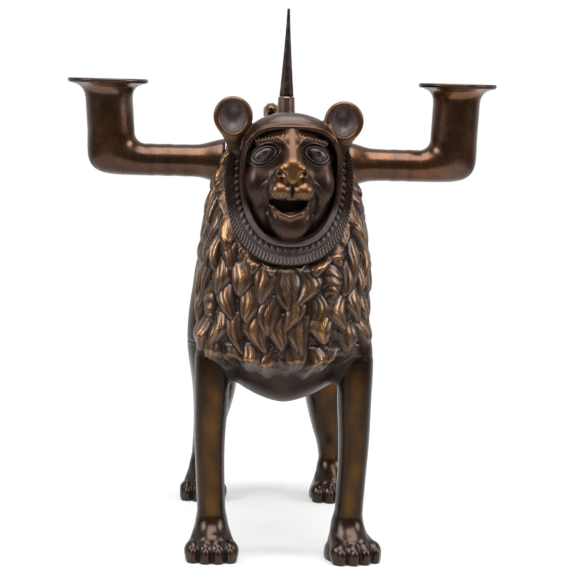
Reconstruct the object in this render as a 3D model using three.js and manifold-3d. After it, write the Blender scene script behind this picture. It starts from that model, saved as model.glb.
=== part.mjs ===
// Bronze candlestick in the form of a standing lion.
// The hollow body carries a separately cast head, four legs, a tail and two candle arms,
// each fixed by a tenon and a cross pin, and an iron pricket spike held by a nut inside the body.
// Millimetres, +Z up. The lion looks along -Y and stands on Z = 0. Left and right are as seen from its front.
import * as THREE from "three";
import { mergeVertices } from "three/addons/utils/BufferGeometryUtils.js";
import Module from "manifold-3d";

const wasm = await Module();
wasm.setup();

// Driving dimensions
const LEG_HEIGHT = 98; // floor to the level where the legs enter the body
const BODY_HEIGHT = 138; // leg level to the top of the shoulders
const BODY_LENGTH = 190; // chest to rump
const BODY_HALF_WIDTH = 44; // half the width at the lower mane, under the locks
const BODY_MIDDLE_Y = 3; // middle of the body's length
const CHEST_Y = BODY_MIDDLE_Y - BODY_LENGTH / 2;
const RUMP_Y = BODY_MIDDLE_Y + BODY_LENGTH / 2;
const WALL = 4.5; // thickness of the cast shell
const FIT_GAP = 0.3; // clearance between seated castings
const PIN_GAP = 0.3; // clearance of a pin in its hole
const OVERRUN = 8; // how far a drilled hole is cut past the skin, so that it comes out clean

const LEG_SPACING_FRONT = 75.5; // between the axes of the front legs
const LEG_SPACING_REAR = 70; // between the axes of the rear legs at the hip
const FRONT_LEG_Y = CHEST_Y + 25;
const REAR_LEG_Y = RUMP_Y - 26;
const LEG_TENON_LENGTH = 24;
const LEG_TENON_RADIUS = 6;
const LEG_PIN_RADIUS = 2;

const ARM_HEIGHT = 111.8; // leg level to the axis of the arms
const ARM_Y = CHEST_Y + 67;
const ARM_RADIUS = 8.7;
const ARM_ROOT_RADIUS = 10.4; // flared end that seats on the body
const ARM_TENON_RADIUS = 6;
const ARM_TENON_SHARE = 0.38; // of the way from the skin to the middle plane
const ARM_PIN_RADIUS = 1.8;
const SOCKET_REACH_LEFT = 95.9; // middle plane to the axis of the candle socket
const SOCKET_REACH_RIGHT = 93.4;
const SOCKET_RADIUS = 12.8;
const SOCKET_LEAN_LEFT = 1.4; // how far the left rim stands outside its socket
const SOCKET_LEAN_RIGHT = 0.4;
const RIM_RADIUS_LEFT = 21.7;
const RIM_RADIUS_RIGHT = 21.3;
const RIM_THICKNESS = 2.2;
const RIM_HEIGHT_LEFT = 43.5; // arm axis to the top of the rim
const RIM_HEIGHT_RIGHT = 45.4;
const CANDLE_RADIUS = 10.7; // bore of the candle socket
const CANDLE_DEPTH = 27;

const HEAD_HEIGHT = 107; // leg level to the middle of the ruff
const HEAD_LENGTH = 39; // back of the ruff to the tip of the muzzle
const RUFF_Y = CHEST_Y + 19; // back face of the ruff, where it seats on the neck
const RUFF_HALF_WIDTH = 33.6;
const RUFF_ABOVE = 27;
const RUFF_BELOW = 45.5;
const RUFF_TILT = 13; // how much further forward the foot of the ruff stands than its sides
const NECK_TENON_DEPTH = 12;
const NECK_TENON_HALF_WIDTH = 24;
const NECK_TENON_HALF_HEIGHT = 29;
const NECK_PIN_RADIUS = 1.8;
const HEAD_WALL = 7;
const EAR_RADIUS = 10;
const EAR_THICKNESS = 6;
const EAR_OUT = 5.5; // in front of the back of the ruff
const EARS = [
  { side: -1, x: -30.4, rise: 30.6 }, // rise is measured from the middle of the ruff
  { side: 1, x: 27.2, rise: 29.2 },
];
const HOOD_HALF_WIDTH = 25.5;
const HOOD_ABOVE = 32.6;

const SPIKE_X = 0.3;
const SPIKE_Y = CHEST_Y + 74;
const SPIKE_LENGTH = 47.8;
const SPIKE_BASE_RADIUS = 3.95;
const SPIKE_TIP_RADIUS = 0.75;
const SPIKE_FACES = 8;
const TANG_RADIUS = 2.6;
const COLLAR_RADIUS = 4.5;
const COLLAR_HEIGHT = 11.8;
const COLLAR_FOOT_RADIUS = 7.5;
const COLLAR_FOOT_HEIGHT = 2;
const PAD_RADIUS = 9; // raised round pad on the back under the collar
const PAD_HEIGHT = 1.5;
const BOSS_DEPTH = 2.5; // how far the boss under the pad hangs below the wall
const WASHER_RADIUS = 7.5;
const WASHER_THICKNESS = 1.6;
const NUT_ACROSS = 10;
const NUT_THICKNESS = 4.5;

const TAIL_RADIUS = 4.6;
const TAIL_TENON_RADIUS = 3.6;
const TAIL_TENON_LENGTH = 12;
const TAIL_PIN_RADIUS = 1.4;
const PLUG_RADIUS = 9; // plug of the core hole under the belly
const PLUG_Y = 14;
const PLUG_HEAD_RADIUS = 11;
const PLUG_HEAD_THICKNESS = 1.6;

const LOCK_ROWS = 9; // rows of mane locks from the fringe up to the nape
const LOCKS_AROUND = 26; // locks in a full turn, of which the mane covers the front and the sides
const LOCK_RELIEF = 3; // how far a lock's ridge stands proud of the body
const MANE_AXIS_Y = CHEST_Y + 48; // upright axis round which the locks are laid

const PAW_LENGTH = 31;
const PAW_WIDTH = 27;
const PAW_HEIGHT = 13;
const FRONT_PAW_TURN = 0.32; // how far the front right paw is splayed outwards, in radians
const REAR_PAW_TURN = 0.12;

const BODY_RING_POINTS = 28;
const SOCKET_RING_POINTS = 16;
const PIN_SIDES = 10;
const BOSS_SIDES = 12;
const UP = new THREE.Vector3(0, 0, 1);
const ACROSS = new THREE.Vector3(1, 0, 0);
const BACKWARDS = new THREE.Vector3(0, 1, 0);

const SHOULDER_LEVEL = LEG_HEIGHT + BODY_HEIGHT;
const ARM_LEVEL = LEG_HEIGHT + ARM_HEIGHT;
const HEAD_LEVEL = LEG_HEIGHT + HEAD_HEIGHT;

// Solids

function solidOf(geometry) {
  const plain = geometry.index ? geometry.toNonIndexed() : geometry.clone();
  plain.deleteAttribute("normal");
  plain.deleteAttribute("uv");
  const merged = mergeVertices(plain, 1e-4);
  const vertProperties = new Float32Array(merged.attributes.position.array);
  const triVerts = new Uint32Array(merged.index.array);
  let made = new wasm.Manifold(new wasm.Mesh({ numProp: 3, vertProperties, triVerts }));
  if (made.volume() < 0) {
    for (let i = 0; i < triVerts.length; i += 3) {
      [triVerts[i + 1], triVerts[i + 2]] = [triVerts[i + 2], triVerts[i + 1]];
    }
    made = new wasm.Manifold(new wasm.Mesh({ numProp: 3, vertProperties, triVerts }));
  }
  return made;
}

function geometryOf(solid) {
  const mesh = solid.getMesh();
  const geometry = new THREE.BufferGeometry();
  geometry.setAttribute("position", new THREE.BufferAttribute(mesh.vertProperties, 3));
  geometry.setIndex(new THREE.BufferAttribute(mesh.triVerts, 1));
  const flat = geometry.toNonIndexed();
  flat.computeVertexNormals();
  return flat;
}

function joined(solids) {
  return solids.reduce((whole, next) => whole.add(next));
}

function largestBody(solid) {
  return solid.decompose().reduce((a, b) => (a.volume() > b.volume() ? a : b));
}

// A closed skin through rings that hold equal numbers of points, with a fan of faces at each end.
function loft(rings) {
  const count = rings[0].length;
  const points = rings.flat();
  const index = [];
  for (let r = 0; r + 1 < rings.length; r++) {
    for (let i = 0; i < count; i++) {
      const next = (i + 1) % count;
      const a = r * count + i;
      const b = r * count + next;
      index.push(a, b, a + count, b, b + count, a + count);
    }
  }
  for (const [r, turned] of [[0, true], [rings.length - 1, false]]) {
    const middle = rings[r].reduce((sum, p) => sum.add(p), new THREE.Vector3()).divideScalar(count);
    points.push(middle);
    for (let i = 0; i < count; i++) {
      const a = r * count + i;
      const b = r * count + ((i + 1) % count);
      index.push(...(turned ? [points.length - 1, b, a] : [points.length - 1, a, b]));
    }
  }
  const geometry = new THREE.BufferGeometry().setFromPoints(points);
  geometry.setIndex(index);
  return geometry;
}

function signedPower(value, power) {
  return Math.sign(value) * Math.abs(value) ** power;
}

// An egg-shaped ring: its upper and lower halves have heights and squarenesses of their own.
function eggRing(centre, across, up, shape, count) {
  const { half, above, below, squareAbove = 2, squareBelow = 2 } = shape;
  const ring = [];
  for (let i = 0; i < count; i++) {
    const angle = (2 * Math.PI * (i + 0.5)) / count;
    const upper = Math.sin(angle) >= 0;
    const power = 2 / (upper ? squareAbove : squareBelow);
    const side = signedPower(Math.cos(angle), power) * half;
    const height = signedPower(Math.sin(angle), power) * (upper ? above : below);
    ring.push(centre.clone().addScaledVector(across, side).addScaledVector(up, height));
  }
  return ring;
}

function levelRing(x, y, z, halfX, halfY, count, squareness = 2) {
  const shape = { half: halfX, above: halfY, below: halfY, squareAbove: squareness, squareBelow: squareness };
  return eggRing(new THREE.Vector3(x, y, z), ACROSS, BACKWARDS, shape, count);
}

// A round bar between two points, with an end radius of its own at the far end where one is given.
function bar(from, to, radius, sides = PIN_SIDES, endRadius = radius) {
  const length = from.distanceTo(to);
  const geometry = new THREE.CylinderGeometry(endRadius, radius, length, sides);
  const direction = to.clone().sub(from).normalize();
  geometry.applyQuaternion(new THREE.Quaternion().setFromUnitVectors(BACKWARDS, direction));
  const middle = from.clone().add(to).multiplyScalar(0.5);
  geometry.translate(middle.x, middle.y, middle.z);
  return geometry;
}

function barSolid(from, to, radius, sides, endRadius) {
  return solidOf(bar(from, to, radius, sides, endRadius));
}

function egg(centre, halfX, halfY, halfZ, across = 8, down = 6) {
  const geometry = new THREE.SphereGeometry(1, across, down);
  geometry.rotateX(Math.PI / 2);
  geometry.scale(halfX, halfY, halfZ);
  geometry.translate(centre.x, centre.y, centre.z);
  return solidOf(geometry);
}

// A smooth value between rows of a table that is sorted by its first key.
function between(rows, key, at, name) {
  const last = rows.length - 1;
  if (at <= rows[0][key]) return rows[0][name];
  if (at >= rows[last][key]) return rows[last][name];
  const i = rows.findIndex((row) => row[key] > at) - 1;
  const span = rows[i + 1][key] - rows[i][key];
  const slope = (k) => {
    const a = rows[Math.max(k - 1, 0)];
    const b = rows[Math.min(k + 1, last)];
    return (b[name] - a[name]) / (b[key] - a[key]);
  };
  const t = (at - rows[i][key]) / span;
  const rise = rows[i + 1][name] - rows[i][name];
  const start = slope(i) * span;
  const end = slope(i + 1) * span;
  return rows[i][name] + t * (start + t * (3 * rise - 2 * start - end + t * (start + end - 2 * rise)));
}

// Body

// Stations from chest to rump. along is a share of half the length, half a share of the greatest half width,
// and the levels are shares of the body's height above the level where the legs enter. squareBelow is the
// squareness of the underside: 2 is round, and less draws it together to a keel.
const BODY_STATIONS = [
  { along: -1, half: 0.97, top: 0.97, widest: 0.17, low: -0.08, squareBelow: 1.62 },
  { along: -0.8, half: 1, top: 0.993, widest: 0.16, low: -0.118, squareBelow: 1.62 },
  { along: -0.5, half: 0.99, top: 0.988, widest: 0.19, low: -0.06, squareBelow: 1.66 },
  { along: -0.2, half: 0.93, top: 0.975, widest: 0.33, low: 0.062, squareBelow: 1.9 },
  { along: 0.15, half: 0.84, top: 0.943, widest: 0.41, low: 0.123, squareBelow: 2.05 },
  { along: 0.5, half: 0.8, top: 0.9, widest: 0.42, low: 0.145, squareBelow: 2.05 },
  { along: 0.8, half: 0.86, top: 0.89, widest: 0.42, low: 0.13, squareBelow: 2.05 },
  { along: 1, half: 0.82, top: 0.855, widest: 0.435, low: 0.174, squareBelow: 2.05 },
];
const CHEST_ROUNDING = 0.2 * BODY_LENGTH; // length over which the chest closes
const RUMP_ROUNDING = 0.21 * BODY_LENGTH;
const CHEST_LEVEL = 0.24 * BODY_HEIGHT; // level of the foremost point of the chest
const RUMP_LEVEL = 0.58 * BODY_HEIGHT;
const CHEST_RINGS = 5;
const BARREL_RINGS = 8;
const RUMP_RINGS = 6;
const SQUARE_ABOVE = 2.5;
const LEAST_RING_RADIUS = 2.5;

// One upright ring of the body at the given place, moved outwards by grow. closing runs from 1 to 0 at an end.
function bodyRing(y, grow, closing, closingLevel, count) {
  const along = (y - BODY_MIDDLE_Y) / (BODY_LENGTH / 2);
  const read = (name) => between(BODY_STATIONS, "along", along, name);
  const toEnd = (share) => closingLevel + (share * BODY_HEIGHT - closingLevel) * closing;
  const widest = toEnd(read("widest"));
  const shape = {
    half: Math.max(read("half") * BODY_HALF_WIDTH * closing + grow, LEAST_RING_RADIUS),
    above: Math.max(toEnd(read("top")) - widest + grow, LEAST_RING_RADIUS),
    below: Math.max(widest - toEnd(read("low")) + grow, LEAST_RING_RADIUS),
    squareAbove: SQUARE_ABOVE,
    squareBelow: read("squareBelow"),
  };
  const centre = new THREE.Vector3(0, y, LEG_HEIGHT + widest);
  return eggRing(centre, ACROSS, UP, shape, count);
}

function bodyLoft(grow, count) {
  const rings = [];
  const front = CHEST_Y - grow;
  const back = RUMP_Y + grow;
  const chestEnd = CHEST_Y + CHEST_ROUNDING;
  const rumpStart = RUMP_Y - RUMP_ROUNDING;
  for (let i = 0; i < CHEST_RINGS; i++) {
    const angle = ((i + 0.25) / CHEST_RINGS) * (Math.PI / 2);
    const y = chestEnd - (chestEnd - front) * Math.cos(angle);
    rings.push(bodyRing(y, grow, Math.sin(angle) ** 0.85, CHEST_LEVEL, count));
  }
  for (let i = 0; i <= BARREL_RINGS; i++) {
    rings.push(bodyRing(chestEnd + ((rumpStart - chestEnd) * i) / BARREL_RINGS, grow, 1, CHEST_LEVEL, count));
  }
  for (let i = 1; i <= RUMP_RINGS; i++) {
    const angle = ((i - 0.25) / RUMP_RINGS) * (Math.PI / 2);
    const y = rumpStart + (back - rumpStart) * Math.sin(angle);
    rings.push(bodyRing(y, grow, Math.cos(angle) ** 0.85, RUMP_LEVEL, count));
  }
  return loft(rings);
}

// Legs

// Rows from the top of a leg to its ankle: level as a share of the leg's height, offsets from the leg's axis.
const FRONT_LEG_ROWS = [
  { level: 0.13, halfX: 8.2, halfY: 8.4, x: -1.2, y: 0.5 },
  { level: 0.22, halfX: 7.7, halfY: 8.2, x: -1, y: 0.8 },
  { level: 0.42, halfX: 7.6, halfY: 8.6, x: 0, y: 0.6 },
  { level: 0.65, halfX: 8.2, halfY: 9.4, x: 0.8, y: 0.6 },
  { level: 0.85, halfX: 9, halfY: 10.6, x: 0.4, y: 0.2 },
  { level: 1.2, halfX: 9.6, halfY: 11.4, x: -0.4, y: 0 },
];
const REAR_LEG_ROWS = [
  { level: 0.12, halfX: 8.4, halfY: 8.6, x: 4.2, y: 11 },
  { level: 0.2, halfX: 7.4, halfY: 8.4, x: 4.4, y: 14 },
  { level: 0.31, halfX: 7.6, halfY: 10.4, x: 3.6, y: 15.5 },
  { level: 0.46, halfX: 9.6, halfY: 12, x: 1.2, y: 9 },
  { level: 0.7, halfX: 13, halfY: 17, x: -1.2, y: 2 },
  { level: 1, halfX: 15.2, halfY: 21, x: 0.4, y: 0 },
  { level: 1.3, halfX: 15, halfY: 23, x: -1.5, y: 1 },
  { level: 1.6, halfX: 11.5, halfY: 20, x: -5, y: 2 },
  { level: 1.78, halfX: 4, halfY: 10, x: -12, y: 2 },
];
const HAUNCH_RINGS = 6;
const LEG_RINGS = 8;
const LEG_RING_POINTS = 12;
const TOES = 4;
const TOE_HALF_HEIGHT = 5.6;
const CLAW_LENGTH = 4;

const FRONT_LEG = { rows: FRONT_LEG_ROWS, spacing: LEG_SPACING_FRONT, y: FRONT_LEG_Y };
const REAR_LEG = { rows: REAR_LEG_ROWS, spacing: LEG_SPACING_REAR, y: REAR_LEG_Y };
const LEGS = [
  { name: "front_leg_left", side: -1, turn: 0, ...FRONT_LEG },
  { name: "front_leg_right", side: 1, turn: FRONT_PAW_TURN, ...FRONT_LEG },
  { name: "rear_leg_left", side: -1, turn: 0, ...REAR_LEG },
  { name: "rear_leg_right", side: 1, turn: REAR_PAW_TURN, ...REAR_LEG },
];

function legAxisX(leg) {
  return (leg.side * leg.spacing) / 2;
}

function legShaft(leg, grow, lowest, highest, steps) {
  const rings = [];
  for (let i = 0; i <= steps; i++) {
    const level = lowest + ((highest - lowest) * i) / steps;
    const read = (name) => between(leg.rows, "level", level, name);
    const x = legAxisX(leg) + leg.side * read("x");
    const y = leg.y + read("y");
    const halfX = read("halfX") + grow;
    const halfY = read("halfY") + grow;
    rings.push(levelRing(x, y, level * LEG_HEIGHT, halfX, halfY, LEG_RING_POINTS, 2.2));
  }
  return solidOf(loft(rings));
}

function lowerLeg(leg, grow) {
  const highest = leg.rows === REAR_LEG_ROWS ? 1 - FIT_GAP / LEG_HEIGHT : leg.rows[leg.rows.length - 1].level;
  return legShaft(leg, grow, leg.rows[0].level, highest, LEG_RINGS);
}

// The haunch is cast with the body and ends in a flat seat for the rear leg.
function haunch(leg, grow) {
  return legShaft(leg, grow, 1 - grow / LEG_HEIGHT, leg.rows[leg.rows.length - 1].level, HAUNCH_RINGS);
}

// A paw: a sloping instep that narrows to the ankle, four rounded toes and their claws, flat underneath.
function paw(leg) {
  const foot = leg.rows[0];
  const ankle = { x: leg.side * foot.x, y: foot.y };
  const ankleLevel = foot.level * LEG_HEIGHT;
  const heel = ankle.y + foot.halfY + 2;
  const rings = [];
  const steps = 5;
  for (let i = 0; i <= steps; i++) {
    const t = i / steps;
    const ease = Math.sqrt(1 - (1 - t) ** 2);
    const halfX = THREE.MathUtils.lerp((PAW_WIDTH / 2) * 0.86, foot.halfX, t ** 1.5);
    const reach = THREE.MathUtils.lerp(PAW_LENGTH * 0.8, 2 * foot.halfY, ease);
    const back = THREE.MathUtils.lerp(heel, ankle.y + foot.halfY, t);
    const x = ankle.x * t;
    const y = back - reach / 2;
    rings.push(levelRing(x, y, t * (ankleLevel + 1.5), halfX, reach / 2, LEG_RING_POINTS, 2.3));
  }
  const parts = [solidOf(loft(rings))];
  const toeWidth = PAW_WIDTH / TOES;
  for (let i = 0; i < TOES; i++) {
    const place = i - (TOES - 1) / 2;
    const reach = heel - PAW_LENGTH + Math.abs(place) * 2.2;
    const x = place * toeWidth * 0.97;
    const toe = new THREE.Vector3(x, reach + 8.5, 4.4);
    parts.push(egg(toe, toeWidth * 0.56, 8.5, TOE_HALF_HEIGHT, 8, 6));
    const clawRoot = new THREE.Vector3(x, reach + 3, 5);
    const clawTip = new THREE.Vector3(x * 1.04, reach + 3 - CLAW_LENGTH, 1.4);
    parts.push(barSolid(clawRoot, clawTip, 1.5, 4, 0.4));
  }
  const under = new THREE.BoxGeometry(4 * PAW_WIDTH, 4 * PAW_LENGTH, 2 * PAW_HEIGHT);
  under.translate(0, 0, -PAW_HEIGHT);
  const whole = joined(parts).subtract(solidOf(under));
  const turned = geometryOf(whole);
  turned.translate(-ankle.x, -ankle.y, 0);
  turned.rotateZ(leg.turn * leg.side);
  turned.translate(legAxisX(leg) + ankle.x, leg.y + ankle.y, 0);
  return solidOf(turned);
}

// Outer skin of the body with its haunches

function bodyWithHaunches(grow) {
  const haunches = LEGS.filter((leg) => leg.rows === REAR_LEG_ROWS).map((leg) => haunch(leg, grow));
  return joined([solidOf(bodyLoft(grow, BODY_RING_POINTS)), ...haunches]);
}

const bodyOutside = bodyWithHaunches(0);
const bodyWithGap = bodyWithHaunches(FIT_GAP);
const bodyInside = solidOf(bodyLoft(-WALL, BODY_RING_POINTS / 2));
const bodySkin = skinOf(bodyOutside);
const standingSkin = skinOf(joined([bodyOutside, ...LEGS.map((leg) => lowerLeg(leg, 0))]));

function skinOf(solid) {
  const skin = new THREE.Mesh(geometryOf(solid), new THREE.MeshBasicMaterial({ side: THREE.DoubleSide }));
  skin.updateMatrixWorld();
  return skin;
}

// A level well inside the body at a place along it.
function coreLevel(y) {
  const along = (y - BODY_MIDDLE_Y) / (BODY_LENGTH / 2);
  const top = between(BODY_STATIONS, "along", along, "top");
  const low = between(BODY_STATIONS, "along", along, "low");
  return LEG_HEIGHT + ((top + low) / 2) * BODY_HEIGHT;
}

// The point where a line from inside the body leaves its outer skin, with the skin's direction there.
function onBody(from, direction, skin = bodySkin) {
  const ray = new THREE.Raycaster(from, direction.clone().normalize());
  const hits = ray.intersectObject(skin);
  const hit = hits[hits.length - 1];
  const normal = hit.face.normal.clone();
  if (normal.dot(direction) < 0) normal.negate();
  return { point: hit.point, normal };
}

function legTenonEnds(leg) {
  const x = legAxisX(leg);
  return {
    foot: new THREE.Vector3(x, leg.y, LEG_HEIGHT - 10),
    tip: new THREE.Vector3(x, leg.y, LEG_HEIGHT + LEG_TENON_LENGTH),
  };
}

// A front leg is pinned from the chest backwards, a rear leg from the flank inwards.
function legPinEnds(leg) {
  const isFront = leg.rows === FRONT_LEG_ROWS;
  const level = LEG_HEIGHT + LEG_TENON_LENGTH * (isFront ? 0.42 : 0.68);
  const axis = new THREE.Vector3(legAxisX(leg), leg.y, level);
  const outwards = isFront ? new THREE.Vector3(0, -1, 0) : new THREE.Vector3(leg.side, 0, 0);
  const { point } = onBody(axis, outwards, standingSkin);
  const inner = axis.clone().addScaledVector(outwards, -LEG_TENON_RADIUS - WALL * 0.6);
  return { head: point, inner, outwards };
}

function legSolid(leg) {
  const { foot, tip } = legTenonEnds(leg);
  const outside = lowerLeg(leg, 0).add(paw(leg)).subtract(bodyWithGap);
  const tenon = barSolid(foot, tip, LEG_TENON_RADIUS, BOSS_SIDES);
  const { head, inner, outwards } = legPinEnds(leg);
  const outer = head.clone().addScaledVector(outwards, OVERRUN);
  const hole = barSolid(outer, inner.addScaledVector(outwards, -OVERRUN), LEG_PIN_RADIUS + PIN_GAP);
  return largestBody(outside.add(tenon).subtract(hole));
}

// Arms

const ARMS = [
  {
    name: "arm_left",
    side: -1,
    reach: SOCKET_REACH_LEFT,
    lean: SOCKET_LEAN_LEFT,
    rim: RIM_RADIUS_LEFT,
    height: RIM_HEIGHT_LEFT,
  },
  {
    name: "arm_right",
    side: 1,
    reach: SOCKET_REACH_RIGHT,
    lean: SOCKET_LEAN_RIGHT,
    rim: RIM_RADIUS_RIGHT,
    height: RIM_HEIGHT_RIGHT,
  },
];
const ELBOW_INNER_RADIUS = 6.2;
const ELBOW_STEPS = 8;
const ELBOW_SQUARENESS = 4.6; // how square the outer corner of the elbow is
const FLARE_HEIGHT = 8;
const LIP_ROUNDING = 0.6;

// An upright ring across the arm, at a distance out along it.
function armRing(side, out, level, halfUp, halfAcross, turn, pivot) {
  const ring = [];
  for (let i = 0; i < SOCKET_RING_POINTS; i++) {
    const angle = (2 * Math.PI * i) / SOCKET_RING_POINTS;
    const down = out + halfUp * Math.cos(angle);
    const x = pivot.out + down * Math.sin(turn);
    const z = pivot.level - down * Math.cos(turn);
    ring.push(new THREE.Vector3(side * x, ARM_Y + halfAcross * Math.sin(angle), z + level));
  }
  return ring;
}

// Root, tube, elbow, socket and rim follow one another as rings of one skin, which then turns over the rim
// and runs down inside the candle bore.
function armSolid(arm) {
  const seat = onBody(new THREE.Vector3(0, ARM_Y, ARM_LEVEL), new THREE.Vector3(arm.side, 0, 0));
  const rootOut = Math.abs(seat.point.x);
  const pivot = {
    out: arm.reach - SOCKET_RADIUS - ELBOW_INNER_RADIUS - 0.8,
    level: ARM_LEVEL + ARM_RADIUS + ELBOW_INNER_RADIUS,
  };
  const armDrop = ELBOW_INNER_RADIUS + ARM_RADIUS;
  const tube = (out, radius) => armRing(arm.side, armDrop, 0, radius, radius, 0, { out, level: pivot.level });
  const rings = [];
  rings.push(tube(rootOut - 8, ARM_ROOT_RADIUS));
  rings.push(tube(rootOut + 1, ARM_ROOT_RADIUS));
  rings.push(tube(rootOut + 3, (ARM_ROOT_RADIUS + ARM_RADIUS) / 2));
  rings.push(tube(rootOut + 7, ARM_RADIUS));
  rings.push(tube((rootOut + 7 + pivot.out) / 2, ARM_RADIUS));
  const innerReach = ELBOW_INNER_RADIUS;
  const reachBelow = innerReach + 2 * ARM_RADIUS;
  const reachBeside = innerReach + 2 * SOCKET_RADIUS;
  for (let i = 0; i <= ELBOW_STEPS; i++) {
    const turn = ((Math.PI / 2) * i) / ELBOW_STEPS;
    const n = ELBOW_SQUARENESS;
    const outer = ((Math.cos(turn) / reachBelow) ** n + (Math.sin(turn) / reachBeside) ** n) ** (-1 / n);
    const halfUp = (outer - innerReach) / 2;
    const ease = THREE.MathUtils.smoothstep(i / ELBOW_STEPS, 0, 1);
    const halfAcross = THREE.MathUtils.lerp(ARM_RADIUS, SOCKET_RADIUS, ease);
    rings.push(armRing(arm.side, innerReach + halfUp, 0, halfUp, halfAcross, turn, pivot));
  }
  const rimTop = ARM_LEVEL + arm.height;
  const lastOut = pivot.out + innerReach + SOCKET_RADIUS;
  const rimOut = arm.reach + arm.lean;
  const upright = (level, radius) => {
    const t = (level - pivot.level) / (rimTop - pivot.level);
    const out = THREE.MathUtils.lerp(lastOut, rimOut, t);
    return armRing(arm.side, out - pivot.out, level - pivot.level, radius, radius, Math.PI / 2, pivot);
  };
  const flareStart = rimTop - RIM_THICKNESS - FLARE_HEIGHT;
  rings.push(upright((pivot.level + flareStart) / 2, SOCKET_RADIUS));
  rings.push(upright(flareStart, SOCKET_RADIUS));
  for (const [rise, share] of [[0.45, 0.1], [0.75, 0.3], [0.93, 0.62]]) {
    const radius = SOCKET_RADIUS + (arm.rim - SOCKET_RADIUS) * share;
    rings.push(upright(flareStart + FLARE_HEIGHT * rise, radius));
  }
  rings.push(upright(rimTop - RIM_THICKNESS, arm.rim - LIP_ROUNDING));
  rings.push(upright(rimTop - RIM_THICKNESS + LIP_ROUNDING, arm.rim));
  rings.push(upright(rimTop - LIP_ROUNDING, arm.rim));
  rings.push(upright(rimTop, arm.rim - LIP_ROUNDING));
  rings.push(upright(rimTop - 0.5, CANDLE_RADIUS + 2));
  rings.push(upright(rimTop - 2, CANDLE_RADIUS));
  rings.push(upright(rimTop - CANDLE_DEPTH, CANDLE_RADIUS));
  const outside = solidOf(loft(rings)).subtract(bodyWithGap);
  const { from, to } = armTenonEnds(arm);
  const tenon = barSolid(from, to, ARM_TENON_RADIUS, BOSS_SIDES);
  const pin = armPinEnds(arm);
  const above = pin.head.addScaledVector(UP, OVERRUN);
  const below = pin.foot.addScaledVector(UP, -OVERRUN);
  return largestBody(outside.add(tenon).subtract(barSolid(above, below, ARM_PIN_RADIUS + PIN_GAP)));
}

function armTenonEnds(arm) {
  const seat = onBody(new THREE.Vector3(0, ARM_Y, ARM_LEVEL), new THREE.Vector3(arm.side, 0, 0));
  const from = new THREE.Vector3(seat.point.x + arm.side * 5, ARM_Y, ARM_LEVEL);
  const to = new THREE.Vector3(seat.point.x * (1 - ARM_TENON_SHARE), ARM_Y, ARM_LEVEL);
  return { from, to };
}

// An upright pin from the shoulder down through the arm's tenon.
function armPinEnds(arm) {
  const { to } = armTenonEnds(arm);
  const axis = new THREE.Vector3(to.x + arm.side * 6, ARM_Y, ARM_LEVEL);
  const { point } = onBody(axis.clone().setZ(coreLevel(ARM_Y)), UP);
  const foot = axis.clone().addScaledVector(UP, -ARM_TENON_RADIUS - WALL * 0.7);
  return { head: point, foot };
}

// Head

const HEAD_RING_POINTS = 24;
const HEADBAND_RADIUS = 22.6; // of the arch of the hood's rolled edge
const HEADBAND_LEVEL = 2.6; // centre of the arch above the middle of the ruff
const HEADBAND_OUT = 18; // in front of the back of the ruff
const RUFF_PROFILE = [
  // share of the ruff's outline, distance in front of its back face
  [1, 0],
  [1, 5],
  [0.975, 7],
  [0.87, 8.2],
  [0.855, 6.8],
  [0.84, 8],
  [0.75, 9],
  [0.7, 12],
  [0.67, 12],
  [0.65, 5],
];
const SKULL_PROFILE = [
  // distance in front of the ruff's back face, half width, top above the head's middle, bottom below it
  { out: 1, half: 25, above: 30.5, below: 29 },
  { out: 9, half: HOOD_HALF_WIDTH, above: HOOD_ABOVE, below: 31 },
  { out: 15, half: 24.4, above: 30.6, below: 31 },
  { out: 20, half: 22.4, above: 26.6, below: 30 },
  { out: 25, half: 18.5, above: 22, below: 27 },
  { out: 28.5, half: 11, above: 15, below: 19 },
];

function ruffRing(share, out) {
  const shape = {
    half: RUFF_HALF_WIDTH * share,
    above: RUFF_ABOVE * share,
    below: RUFF_BELOW * share,
    squareAbove: 2.5,
    squareBelow: 2.4,
  };
  const centre = new THREE.Vector3(-0.6, RUFF_Y - out, HEAD_LEVEL);
  const ring = eggRing(centre, ACROSS, UP, shape, HEAD_RING_POINTS);
  if (out > 0) {
    for (const point of ring) point.y -= RUFF_TILT * Math.max((HEAD_LEVEL - point.z) / RUFF_BELOW, 0);
  }
  return ring;
}

function skullRing(row) {
  const shape = { half: row.half, above: row.above, below: row.below, squareAbove: 2.2, squareBelow: 2.3 };
  const centre = new THREE.Vector3(0, RUFF_Y - row.out, HEAD_LEVEL);
  return eggRing(centre, ACROSS, UP, shape, HEAD_RING_POINTS);
}

// A round cupped ear, turned about an axis that points forwards, on a neck that narrows into the ruff.
function ear({ side, x, rise }) {
  const level = HEAD_LEVEL + rise;
  const r = EAR_RADIUS;
  const t = EAR_THICKNESS;
  const profile = [
    [0, t],
    [r * 0.6, t * 0.9],
    [r * 0.92, t * 0.55],
    [r, 0],
    [r * 0.95, -t * 0.42],
    [r * 0.84, -t * 0.42],
    [r * 0.74, -t * 0.1],
    [r * 0.42, t * 0.22],
    [0, t * 0.32],
  ].map(([radius, height]) => new THREE.Vector2(radius, height));
  const geometry = new THREE.LatheGeometry(profile, 12);
  geometry.rotateZ(side * -0.16);
  geometry.translate(x, RUFF_Y - EAR_OUT, level);
  const neck = egg(new THREE.Vector3(x * 0.93, RUFF_Y - 4, level - r * 0.95), r * 0.72, t * 0.75, r * 1.05);
  const cupMouth = new THREE.Vector3(x, RUFF_Y - EAR_OUT - t, level);
  const cup = barSolid(cupMouth, cupMouth.clone().setY(RUFF_Y - EAR_OUT), r * 0.66, 12, r * 0.5);
  return solidOf(geometry).add(neck.subtract(cup));
}

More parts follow.
